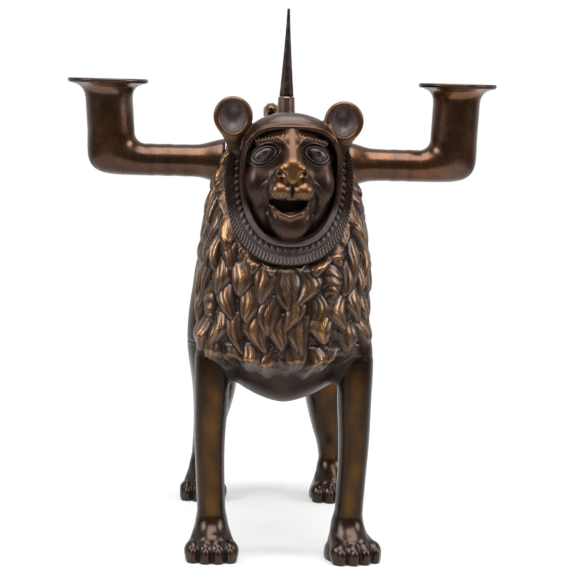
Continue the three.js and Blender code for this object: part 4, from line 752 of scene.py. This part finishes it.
def head_form(x, y, z):
    """The whole casting: ruff plate, hood, collar with its crest, face and ears."""
    o, h = RUFF_BACK - y, z - HEAD_LEVEL
    plate = np.maximum(np.maximum(ruff_edge(x, h) + 0.3, (o - lean_out(h) - 6.4) * 0.9), -o)
    form = weld(plate, hood_form(x, o, h), 1.2)
    collar = section(x, h, 24.7, 25.6, 34.0, 3.2, 2.3)
    crest = np.sqrt(collar ** 2 + (o - rim_out(h)) ** 2)
    crest -= smooth_line(h, (-35, -20, 0, 15, 25), (1.6, 1.9, 2.1, 1.8, 1.6))
    slope = np.maximum(np.abs(collar + 1.5) - 2.6, o - rim_out(h) + 1.2 * np.maximum(collar, 0) + 0.6)
    slope = np.maximum(slope, 2 - o)
    form = weld(form, weld(slope, crest, 1.6), 0.6)
    opening = section(x, h, 23.1, 24.3, 33.0, 3.0, 2.3)
    form = scoop(form, np.maximum(opening, rim_out(h) - 6.5 - o), 0.8)
    form = np.minimum(form, np.maximum(np.maximum(opening - 1, o - rim_out(h) + 6.5), -o))
    fine_ridge = np.sqrt(section(x + 0.8, h, 25.0, 27.6, 40.0, 2.8, 2.2) ** 2 + (o - 16.6) ** 2) - 0.8
    form = weld(form, np.maximum(fine_ridge, 19 - h), 0.8)
    form = weld(form, face_form(x, o, h), 0.5)
    for ear, cup in zip(EARS, EAR_CUPS):
        form = weld(form, ear_form(x, o, h, *ear, *cup), 2.0)
    return np.maximum(form, -o)


def along_line(x, h, line):
    """Distance from a drawn line, the way along it, and its whole length."""
    line = np.asarray(line, float)
    best, way, run = np.full(len(x), 1e9), np.zeros(len(x)), 0.0
    for (ax, ah), (bx, bh) in zip(line[:-1], line[1:]):
        dx, dh = bx - ax, bh - ah
        length = hypot(dx, dh)
        share = held(((x - ax) * dx + (h - ah) * dh) / length ** 2)
        away = np.hypot(x - ax - share * dx, h - ah - share * dh)
        closer = away < best
        best = np.where(closer, away, best)
        way = np.where(closer, run + share * length, way)
        run += length
    return best, way, run


def stroke(x, h, line, width, depth):
    """A cut, or a raised line where depth is negative, that thins at both ends."""
    close = (np.abs(x - line[0][0]) < 26) & (np.abs(h - line[0][1]) < 26)
    cut = np.zeros(len(x))
    away, way, run = along_line(x[close], h[close], line)
    fade = held(np.minimum(way, run - way) / (0.25 * run) + 0.25)
    cut[close] = -depth * fade * hump(away, width)
    return cut


def head_cuts(x, h):
    """Chased work on the front of the head, in millimetres out of the skin: brows, folds and whiskers."""
    cuts = np.zeros(len(x))
    for eye_x, eye_h, side, slant in EYES:
        for k in range(12):
            foot_x = eye_x - side * (8.2 - 1.42 * k)
            foot_h = eye_h + 5.9 + 0.9 * sin(pi * min(k + 2, 10) / 11) - slant * (foot_x - eye_x) * side * 0.6
            lean = side * (-1.9 + 0.36 * k)
            brow = [(foot_x, foot_h), (foot_x + 0.6 * lean, foot_h + 1.7), (foot_x + lean, foot_h + 3.3)]
            cuts += stroke(x, h, brow, 0.4, 0.6)
        for k in range(5):
            start = (FACE_X + side * (8.4 + 0.5 * k), 3.6 - 1.3 * k)
            bend = (FACE_X + side * (12.2 + 0.4 * k), -0.4 - 2.2 * k)
            end = (FACE_X + side * (17.2 - 0.6 * k), -5.4 - 2.8 * k)
            cuts += stroke(x, h, [start, bend, end], 0.5, 0.4)
        jowl = [(7.4, 2.5), (11.2, -3.5), (13.6, -10.5), (12.4, -17), (8.6, -23.5)]
        cuts += stroke(x, h, [(side * across, up) for across, up in jowl], 0.8, 0.75)
        for k in range(3):
            fold = [(side * (8.8 + 1.5 * k), -17.5 - k), (side * (6.6 + 1.2 * k), -22.5 - k)]
            whisker = [(FACE_X + side * (4.2 + 2.0 * k), -6.6), (FACE_X + side * (5.2 + 2.2 * k), -9.8)]
            cuts += stroke(x, h, fold, 0.5, 0.4) + stroke(x, h, whisker, 0.35, 0.4)
        frown = [(2.2, 15.5), (5.2, 19.5), (9, 21.5)]
        cuts += stroke(x, h, [(FACE_X + side * across, up) for across, up in frown], 0.7, -0.5)
    return cuts + stroke(x, h, [(-0.5, -2.6), (-0.4, -5.5), (-0.5, -9.6)], 0.55, 1.0)


points, faces = skin(head_form, low=(-43, -114, 156), high=(39, -71, 248), step=0.46, slack=2.4)
normals = directions(points, faces)
front = held((-normals[:, 1] - 0.12) / 0.3) * (points[:, 1] < RUFF_BACK - 4.0)
x, h = points[:, 0].astype(float), points[:, 2] - HEAD_LEVEL
points = points + normals * (head_cuts(x, h) * front)[:, None]
fx, out = x - FACE_X, RUFF_BACK - points[:, 1]
# Golden on the nose, muzzle pads, bridge, lower lip and hood rim: rubbed wear where hands reach, and a
# painted highlight, most of all along the hood's rim.
nose_shine = hump(fx, 8.5, 4) * hump(h - 3.5, 6.5, 4) * (out > 28)
muzzle_shine = hump(np.abs(fx) - 6, 6.5) * hump(h + 6.6, 4.6) * (out > 27)
bridge_shine = hump(fx, 3.5 + 0.55 * np.clip(h - 8, 0, 14), 4) * held((h - 7) / 3) * (h < 24) * (out > 19)
lip_shine = hump(h + 19.6 - 0.03 * fx * fx, 1.6) * (np.abs(fx) < 9) * (out > 28)
hood_shine = hump(fx, 19, 6) * hump(h - 27.4, 1.3) * (out < 16)
rub_and_shine = nose_shine + 0.9 * muzzle_shine + 0.26 * bridge_shine + 0.8 * lip_shine + 0.5 * hood_shine
# Painted sheen: the low collar beside the chin and the top of the hood are turned matt grey where they catch
# a pale sheen.
low_collar_sheen = held((-17 + np.abs(x) * 0.2 - h) / 6) * (section(x, h, 23, 60, 33, 2, 2.3) > 0)
bare = np.maximum(0.75 * low_collar_sheen, 0.3 * held((h - 28.5) / 2.0) * (np.abs(x) < 20))
# The ear cups are turned matt grey as a painted sheen, and their rims are rubbed.
for (ear_x, ear_rise), (half, tall) in zip(EARS, EAR_CUPS):
    away = np.sqrt(((x - ear_x) / half) ** 2 + ((h - ear_rise) / tall) ** 2)
    bare = np.maximum(bare, held((1.12 - away) / 0.15) * (out > 2))
    rub_and_shine += 0.55 * hump(away - 1.3, 0.3) * (out > 3)
# The eyes are turned partly matt grey: a painted highlight on them.
for eye_x, eye_h, side, slant in EYES:
    ex = x - eye_x
    away = np.sqrt((ex / 7.5) ** 2 + ((h - eye_h + slant * ex * side) / 5.5) ** 2)
    bare = np.maximum(bare, 0.4 * held((1.0 - away) / 0.3) * (out > 16))
head_bronze = bronze("head_bronze", dark=(0.017, 0.01, 0.008), warm=(0.07, 0.03, 0.014),
                     gold=(0.2, 0.1, 0.032), gold_share=0.26, roughness=0.38, mauve_share=0.14, coat=0.08)
cast("head", points, faces, head_bronze, ["head", "neck_pin_left", "neck_pin_right"], rub_and_shine, bare=bare)


# Eyes: an almond opening between two ridges, a ringed iris and a drilled pupil.
# They are chased in the bronze of the head, and each is a fine plate on its skin here.
EYE_HALF, EYE_TALL, EYE_DEPTH = 8.9, 6.6, 2.2
IRISES = ((0.4, 2.5), (0.5, 2.6))


def eye_work(ex, eh, iris_x, iris_radius):
    """The cuts and ridges of an eye, in millimetres out of the skin round it."""
    tall = np.maximum(np.where(eh > 0, 4.1, 3.8) - 0.02 * ex * ex, 1.5)
    almond = (np.sqrt((ex / 6.0) ** 2 + (eh / tall) ** 2) - 1) * 4.2
    work = 0.95 * hump(almond, 0.5) - 1.0 * hump(almond + 0.9, 0.5)
    work += 0.5 * hump(almond - 1.8, 0.5) - 0.7 * hump(almond - 0.95, 0.4)
    away = np.hypot(ex - iris_x, (eh - 0.5) * 1.05)
    ball = held(-almond / 0.7)
    work -= ball * 1.0 * hump(away - iris_radius, 0.5)
    return work - ball * 1.7 * hump(away, 1.0) + ball * 0.85 * hump(away - 1.75, 0.45)


def skin_out(x, h):
    """How far forward the skin of the head lies at places across and above its middle."""
    level, farthest = h + HEAD_LEVEL, np.full(x.shape, 14.0)
    for step, count in ((1.0, 18), (0.125, 9)):
        start = farthest.copy()
        for k in range(count):
            out = start + k * step
            farthest = np.where(head_form(x, RUFF_BACK - out, level) < 0, out, farthest)
    return farthest + 0.06


spread, angle = np.meshgrid(np.linspace(0.03, 1, 46), np.linspace(0, 2 * pi, 150), indexing="ij")
ex, rise = EYE_HALF * spread * np.cos(angle), EYE_TALL * spread * np.sin(angle)
for name, (eye_x, eye_h, side, slant), iris in zip(("eye_left", "eye_right"), EYES, IRISES):
    eye_across, eye_up = eye_x + ex, eye_h + rise - slant * ex * side
    eye_out = skin_out(eye_across, eye_up)
    for _ in range(3):
        eye_out[1:-1] = (eye_out[:-2] + eye_out[2:] + 2 * eye_out[1:-1]) / 4
    relief = eye_work(ex, rise, *iris)
    eye_out += relief + 0.2 - 0.9 * held((spread - 0.86) / 0.14)
    front = np.stack([eye_across, RUFF_BACK - eye_out, eye_up + HEAD_LEVEL], -1)
    points, faces, strips = plate_on(front, front + np.array((0, EYE_DEPTH, 0)), 15)
    relief = np.pad(relief.ravel(), (0, len(points) - ex.size))
    # The raised lids are turned matt grey: a painted highlight on them.
    cast(name, points, faces, head_bronze, ["head"], 0, strips, edge=np.clip(relief * 1.2, -1, 0.1),
         bare=held(relief) * 0.9)


# Ruff: a row of beads in a channel, a cut line, and a band hatched like the lay of a rope.
# It is chased in the bronze of the head, and follows a deep U from ear to ear.
TOOTH, BEAD, BEAD_RADIUS, BEAD_OVER = 1.75, 3.6, 1.3, 0.26
INNER_HALF, INNER_DROP, OUTER_HALF = 25.4, 34.4, 33.5
SIDE_RISE, BAND_OUT, BAND_DEPTH = 18, 7.8, 2.5
upright = np.arange(SIDE_RISE, 0, -0.25)
bend = np.linspace(0, pi, 520)
sideways = np.sign(np.cos(bend)) * np.abs(np.cos(bend)) ** (2 / 2.35)
downward = np.sin(bend) ** (2 / 2.35)
inner_x = np.concatenate([-INNER_HALF + 0 * upright, -INNER_HALF * sideways, INNER_HALF + 0 * upright])
inner_h = np.concatenate([upright, -INNER_DROP * downward, upright[::-1]])
outer_side = OUTER_HALF * (1 - (upright / RUFF_RISE) ** 2.5) ** (1 / 2.5)
outer_x = np.concatenate([-outer_side, -OUTER_HALF * sideways, outer_side[::-1]]) + RUFF_X
outer_h = np.concatenate([upright, -RUFF_DROP * downward, upright[::-1]])
middle_x, middle_h = (inner_x + outer_x) / 2, (inner_h + outer_h) / 2
run = np.concatenate([[0], np.cumsum(np.hypot(np.diff(middle_x), np.diff(middle_h)))])
even = np.arange(0, run[-1], TOOTH / 7)
inner_x, inner_h, outer_x, outer_h = (
    np.interp(even, run, line)[:, None] for line in (inner_x, inner_h, outer_x, outer_h)
)
over = np.linspace(0, 1, 34)[None, :]
ruff_x, ruff_h = inner_x + (outer_x - inner_x) * over, inner_h + (outer_h - inner_h) * over
wide = np.hypot(outer_x - inner_x, outer_h - inner_h)
along = even[:, None] - run[-1] / 2
lay = along + (over - 0.75) * wide * 0.8 * np.sign(along) * held((inner_h + 34) / 18)
teeth = np.cos(2 * pi * lay / TOOTH)
off_bead = np.hypot((over - BEAD_OVER) * wide, (along % BEAD) - BEAD / 2)
bead_size = BEAD_RADIUS + 0.12 * np.sin(np.floor(along / BEAD) * 2.4)
chasing = 0.95 * np.sqrt(held(1 - (off_bead / bead_size) ** 2)) - 0.35 * hump(over - BEAD_OVER, 0.2, 4)
chasing += 0.5 * hump(over - 0.46, 0.035) - 0.6 * hump(over - 0.53, 0.035)
chasing += (0.3 + 0.42 * teeth) * held((over - 0.56) / 0.04) * held((0.965 - over) / 0.04)
chasing -= 1.6 * held((over - 0.955) / 0.045) ** 2
chasing -= 1.4 * np.clip((SIDE_RISE + 0.2 - ruff_h) / 1.5, -1, 0) + 1.2 * held((0.06 - over) / 0.06)
ruff_out = lean_out(ruff_h) + BAND_OUT
front, back = (
    np.stack([ruff_x, RUFF_BACK - ruff_out - proud, ruff_h + HEAD_LEVEL], -1)
    for proud in (chasing, -BAND_DEPTH)
)
points, faces, strips = plate_on(front, back, 11)
# The lower ruff is turned matt grey: a painted sheen where it faces up.
low_ruff_sheen = np.pad(0.75 * held((-14 - ruff_h) / 10).ravel(), (0, len(points) - ruff_x.size))
cast("head_ruff", points, faces, head_bronze, ["head"], 0, strips, bare=low_ruff_sheen)


# Arms: one bronze casting each, a round tube that turns up at a full elbow into the candle socket.
# The tenon is pinned in the shoulder. The socket has a rolled rim, and the smooth skin a redder brown.
arm_bronze = bronze("arm_bronze", dark=(0.02, 0.01, 0.006), warm=(0.08, 0.032, 0.012),
                    gold=(0.26, 0.115, 0.03), gold_share=0.42, roughness=0.26, grain=0.12, red=0.35)
ARM_Y, ARM_LEVEL, ARM_ROOT = -25.0, 209.8, 42.0
ARM_RADIUS, SOCKET_RADIUS, CANDLE_RADIUS, CANDLE_DEPTH = 8.7, 12.8, 10.7, 27.0
ELBOW_INNER, ELBOW_POWER, ELBOW_STEPS = 6.2, 4.6, 26
ROLL_TALL, ROLL_WIDE = 1.1, 0.9
ROOT_FLARE = ((-9, 12.5), (-5, 11.6), (-2, 10.8), (0, 10.2), (2, 9.6), (5, 9.0), (9, 8.75))
RIM_FLARE = ((8.4, 0.03), (6.6, 0.1), (5.2, 0.2), (4.1, 0.34), (3.3, 0.52), (2.7, 0.72), (2.35, 0.88),
             (2.2, 0.96))
BORE = ((0.75, 1.6), (1.3, 0.6), (2.4, 0), (10, 0), (19, 0), (26.2, 0), (CANDLE_DEPTH, -1.0))


def ring_points(centre, first, second, half_first, half_second, count=64):
    """An oval ring about a centre, from two directions and the half width along each."""
    a = np.linspace(0, 2 * pi, count, endpoint=False)[:, None]
    return centre + first * half_first * np.cos(a) + second * half_second * np.sin(a)


def cast_rings(name, rings, finish, replaces, rubbed_and_shine=None, slot="bronze"):
    """A piece from rings of equal counts, with a shallow fan of triangles at each end."""
    count = len(rings[0])
    points = np.concatenate(rings + [rings[0].mean(0)[None], rings[-1].mean(0)[None]])
    k = np.arange(count)
    ahead = (k + 1) % count
    faces = [np.stack([r * count + k, r * count + ahead, (r + 1) * count + ahead, (r + 1) * count + k], 1)
             for r in range(len(rings) - 1)]
    first, last, start = len(points) - 2, len(points) - 1, (len(rings) - 1) * count
    fans = np.stack([ahead, k, k * 0 + first], 1).tolist()
    fans += np.stack([start + k, start + ahead, k * 0 + last], 1).tolist()
    worn_and_shine = rubbed_and_shine(points) if rubbed_and_shine else 0
    cast(name, points, np.concatenate(faces), finish, replaces, worn_and_shine, fans, keen=(1.2, 0.12), slot=slot)


def arm_rings(side, socket_reach, lean, rim, rim_height):
    """Rings from inside the shoulder out along the arm, up the socket, over the rim and down the bore."""
    across, down = np.array((0.0, 1.0, 0.0)), np.array((0, 0, -1.0))
    pivot_out = socket_reach - SOCKET_RADIUS - ELBOW_INNER - 0.8
    pivot_level = ARM_LEVEL + ARM_RADIUS + ELBOW_INNER
    tube = [(ARM_ROOT + beyond, radius) for beyond, radius in ROOT_FLARE]
    for k in range(1, 8):
        out = ARM_ROOT + 9 + (pivot_out - ARM_ROOT - 9) * k / 8
        tube.append((out, ARM_RADIUS + 0.12 * sin(k * 2.1 + side)))
    rings = [ring_points(np.array((side * out, ARM_Y, ARM_LEVEL)), down, across, radius, radius)
             for out, radius in tube]
    below, beside = ELBOW_INNER + 2 * ARM_RADIUS, ELBOW_INNER + 2 * SOCKET_RADIUS
    for k in range(ELBOW_STEPS + 1):
        t = k / ELBOW_STEPS
        turn = pi / 2 * k / ELBOW_STEPS
        outer = (max(cos(turn), 0) / below) ** ELBOW_POWER + (sin(turn) / beside) ** ELBOW_POWER
        half = (outer ** (-1 / ELBOW_POWER) - ELBOW_INNER) / 2
        width = ARM_RADIUS + (SOCKET_RADIUS - ARM_RADIUS) * t * t * (3 - 2 * t)
        first = np.array((side * sin(turn), 0, -cos(turn)))
        centre = np.array((side * pivot_out, ARM_Y, pivot_level)) + first * (ELBOW_INNER + half)
        rings.append(ring_points(centre, first, across, half, width))

    top = ARM_LEVEL + rim_height
    last_out = pivot_out + ELBOW_INNER + SOCKET_RADIUS
    socket = [(pivot_level + (top - 11 - pivot_level) * k / 4, SOCKET_RADIUS) for k in range(1, 5)]
    socket += [(top - drop, SOCKET_RADIUS + (rim - SOCKET_RADIUS) * share) for drop, share in RIM_FLARE]
    for k in range(7):
        a = pi * (k / 6) - pi / 2
        socket.append((top - ROLL_TALL + ROLL_TALL * sin(a), rim - ROLL_WIDE + ROLL_WIDE * cos(a)))
    socket += [(top - 0.35, rim - 3), (top - 0.6, rim - 6)]
    socket += [(top - drop, CANDLE_RADIUS + more) for drop, more in BORE]
    for level, radius in socket:
        share = (level - pivot_level) / (top - pivot_level)
        centre = np.array((side * (last_out + (socket_reach + lean - last_out) * share), ARM_Y, level))
        rings.append(ring_points(centre, np.array((side * 1.0, 0, 0)), across, radius, radius))
    return [ring[::-side] for ring in rings]


for name, side, socket_reach, lean, rim, rim_height in (
    ("arm_left", -1, 95.9, 1.4, 21.7, 43.5),
    ("arm_right", 1, 93.4, 0.4, 21.3, 45.4),
):
    rings = arm_rings(side, socket_reach, lean, rim, rim_height)
    cast_rings(name, rings, arm_bronze, [name, name + "_pin"],
               lambda p: held((p[:, 2] - 245) / 8) * 0.35 + 0.15)


# Tail: a round bronze casting that rises from the rump, where a pin holds its tenon.
# It lies over the back, and its tuft of a few broad strands stands up behind the spike.
TAIL_PATH = ((0, 91.2, 196), (0, 102.7, 200), (0, 103.7, 217), (-1, 82.2, 228.3), (-2.5, 60.2, 228.0),
             (-5.5, 20, 235.6), (-7.0, 4, 239.4))
TAIL_RADIUS, TAIL_THINNING, TUFT_FROM, TUFT_SWELL = 4.6, 1.3, 0.8, 1.9
TAIL_RINGS, TUFT_STRANDS = 90, 9


def curve_through(stops, count):
    """Evenly counted places on a smooth curve through stops, with the direction at each."""
    stops = np.asarray(stops, float)
    gaps = np.concatenate([[0], np.cumsum(np.linalg.norm(np.diff(stops, axis=0), axis=1) ** 0.5)])
    at = np.linspace(0, gaps[-1], count * 4)
    fine = np.stack([smooth_line(at, gaps, stops[:, k]) for k in range(3)], 1)
    run = np.concatenate([[0], np.cumsum(np.linalg.norm(np.diff(fine, axis=0), axis=1))])
    even = np.linspace(0, run[-1], count)
    places = np.stack([np.interp(even, run, fine[:, k]) for k in range(3)], 1)
    ahead = np.gradient(places, axis=0)
    return places, ahead / np.linalg.norm(ahead, axis=1, keepdims=True)


tail_rings = []
side_way = np.array((1.0, 0, 0))
for k, (centre, forward) in enumerate(zip(*curve_through(TAIL_PATH, TAIL_RINGS))):
    t = k / (TAIL_RINGS - 1)
    tuft = max(t - TUFT_FROM, 0) / (1 - TUFT_FROM)
    half = TAIL_RADIUS - TAIL_THINNING * min(t / TUFT_FROM, 1) + TUFT_SWELL * sin(pi * 0.8 * tuft)
    half = max(half * (1 - tuft ** 4) ** 0.5, 0.3)
    a = np.linspace(0, 2 * pi, 48, endpoint=False)
    strand = 1 + 0.03 * min(3 * tuft, 1) * np.cos(TUFT_STRANDS * a + 0.5 * sin(k * 0.3))
    up = np.cross(forward, side_way)
    up /= np.linalg.norm(up)
    tail_rings.append(centre + side_way * (half * strand * np.cos(a))[:, None]
                      + up * (half * strand * np.sin(a))[:, None])
cast_rings("tail", tail_rings, arm_bronze, ["tail", "tail_pin"], lambda p: held((30 - p[:, 1]) / 20) * 0.35)


# Spike: forged iron with eight flats, blunt at the tip, standing in a turned bronze collar.
# Its tang goes down through the back, where a washer and a nut hold it.
SPIKE_X, SPIKE_Y, SPIKE_FOOT, SPIKE_TIP = 0.3, -18.0, 245.95, 293.85
SPIKE_RADIUS, TIP_RADIUS, TANG_RADIUS, SHOULDER_RADIUS = 3.95, 0.75, 2.6, 3.7
FLATS, SPIKE_STEPS = 8, 24


def iron(name, colour, light):
    """Forged iron: dark scale, lighter where it is handled, with a little rust in the flakes."""
    finish, shader, paint = new_finish(name)
    place = paint.node("ShaderNodeTexCoord", out=3)
    cloud = paint.node("ShaderNodeTexNoise", Vector=place, Scale=90.0, Detail=6.0, Roughness=0.7)
    flake = paint.node("ShaderNodeTexNoise", Vector=place, Scale=420.0, Detail=4.0)
    base = paint.plain(colour).mix(cloud.step(0.42, 0.72), light)
    base = base.mix(flake.step(0.6, 0.75) * 0.6, (0.16, 0.07, 0.03))
    bump = paint.node("ShaderNodeBump", Height=cloud * 0.6 + flake * 0.4, Strength=0.4, Distance=0.0004)
    paint.feed(shader, Base_Color=base, Normal=bump, Metallic=0.85, Roughness=(0.36 + cloud * 0.3).kept())
    return finish


def dress(nodes, finish):
    """CAD nodes that show as they are take a finish."""
    for node in nodes:
        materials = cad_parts[node].data.materials
        materials.clear()
        materials.append(finish)


spike_iron = iron("spike_iron", colour=(0.02, 0.014, 0.012), light=(0.09, 0.06, 0.045))
tang_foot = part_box("pricket_spike")[0][2] * 1000
rows = [(tang_foot, TANG_RADIUS - 0.2), (tang_foot + 0.4, TANG_RADIUS), (SPIKE_FOOT - 0.1, TANG_RADIUS),
        (SPIKE_FOOT, SHOULDER_RADIUS), (SPIKE_FOOT + 0.35, SPIKE_RADIUS)]
for k in range(1, SPIKE_STEPS + 1):
    level = SPIKE_FOOT + (SPIKE_TIP - 0.5 - SPIKE_FOOT) * k / SPIKE_STEPS
    rows.append((level, TIP_RADIUS + (SPIKE_RADIUS - TIP_RADIUS) * (1 - k / SPIKE_STEPS) ** 1.25))
rows.append((SPIKE_TIP, 0.3))
angle = np.linspace(0, 2 * pi, 64, endpoint=False)
off_flat = (angle + pi / FLATS) % (2 * pi / FLATS) - pi / FLATS
spike_rings = []
for level, radius in rows:
    facet = 1 if radius <= TANG_RADIUS and level < SPIKE_FOOT else 0.97 / np.maximum(np.cos(off_flat), 0.93)
    hammered = 1 + 0.012 * np.sin(level * 1.7 + 3 * angle) + 0.01 * np.sin(level * 0.9 - 5 * angle)
    around = radius * facet * hammered
    spike_rings.append(np.stack([SPIKE_X + around * np.cos(angle), SPIKE_Y + around * np.sin(angle),
                                 level + 0 * angle], 1))
cast_rings("spike", spike_rings, spike_iron, ["pricket_spike"], slot="iron")
dress(("spike_washer", "spike_nut"), spike_iron)


# Collar, plug and leg pins: turned or filed from plain bronze, and shown as the CAD solids are.
# The collar seats the spike on the back, the plug closes the core's hole, and each pin holds a leg's tenon.
collar_bronze = bronze("collar_bronze", dark=(0.03, 0.018, 0.015), warm=(0.13, 0.06, 0.03),
                       gold=(0.3, 0.16, 0.05), gold_share=0.45, roughness=0.3, grain=0.6)
leg_pins = [f"{end}_leg_{side}_pin" for end in ("front", "rear") for side in ("left", "right")]
dress(("spike_collar", "belly_plug", *leg_pins), collar_bronze)


# Floor, light and camera: a pale floor with a large soft light above it and softer ones from both sides.
# The bronze mirrors an even grey room, and the camera looks down a little through a long lens.
FLOOR_RADIUS, FLOOR_CORNERS = 0.5, 96
CAMERA_PLACE, CAMERA_LENS, CAMERA_FRAME = (-0.0585, -1.0653, 0.2535), 120.0, 36.0
LIGHTS_AIM = Vector((0, 0, 0.17))

floor_white, shader, paint = new_finish("floor_white")
paint.feed(shader, Base_Color=(0.42, 0.42, 0.42, 1), Roughness=0.8, Emission_Color=(1, 1, 1, 1),
           Emission_Strength=0.4)
mesh = bpy.data.meshes.new("floor")
corners = tuple(range(FLOOR_CORNERS))
places = [(FLOOR_RADIUS * cos(2 * pi * k / FLOOR_CORNERS), FLOOR_RADIUS * sin(2 * pi * k / FLOOR_CORNERS), 0)
          for k in corners]
mesh.from_pydata(places, [], [corners])
mesh.materials.append(floor_white)
floor = bpy.data.objects.new("floor", mesh)
bpy.context.scene.collection.objects.link(floor)

world = bpy.data.worlds.new("studio")
world.use_nodes = True
sky = Paint(world.node_tree, None)
seen = sky.node("ShaderNodeLightPath", out=0)
toward = sky.node("ShaderNodeSeparateXYZ", out=1, Vector=sky.node("ShaderNodeTexCoord", out=0))
glow = 0.12 + toward.step(-0.1, 0.7) * 0.6
sky.feed(world.node_tree.nodes["Background"], Color=(1, 1, 1, 1), Strength=glow + seen * (1 - glow))
bpy.context.scene.world = world

for name, place, size, power in (
    ("left_light", (-1.1, -0.45, 0.75), 0.6, 12),
    ("right_light", (1.1, -0.4, 0.7), 0.6, 11),
    ("top_light", (0.0, -0.35, 1.3), 1.2, 33),
):
    light = bpy.data.lights.new(name, "AREA")
    light.energy, light.size = power, size
    lamp = bpy.data.objects.new(name, light)
    lamp.location = place
    lamp.rotation_euler = (LIGHTS_AIM - Vector(place)).to_track_quat("-Z", "Y").to_euler()
    bpy.context.scene.collection.objects.link(lamp)

yaw, pitch, roll = radians(3.32), radians(6.08), radians(-1.52)
ahead = Vector((sin(yaw) * cos(pitch), cos(yaw) * cos(pitch), -sin(pitch)))
across = Vector((cos(yaw), -sin(yaw), 0))
above = across.cross(ahead)
right = cos(roll) * across - sin(roll) * above
up = sin(roll) * across + cos(roll) * above
camera = bpy.data.objects.new("camera", bpy.data.cameras.new("camera"))
camera.data.sensor_width, camera.data.lens = CAMERA_FRAME, CAMERA_LENS
turned = Matrix((right, up, -ahead)).transposed().to_4x4()
camera.matrix_world = Matrix.Translation(CAMERA_PLACE) @ turned
bpy.context.scene.collection.objects.link(camera)
bpy.context.scene.camera = camera
bpy.context.scene.view_settings.view_transform = "Standard"
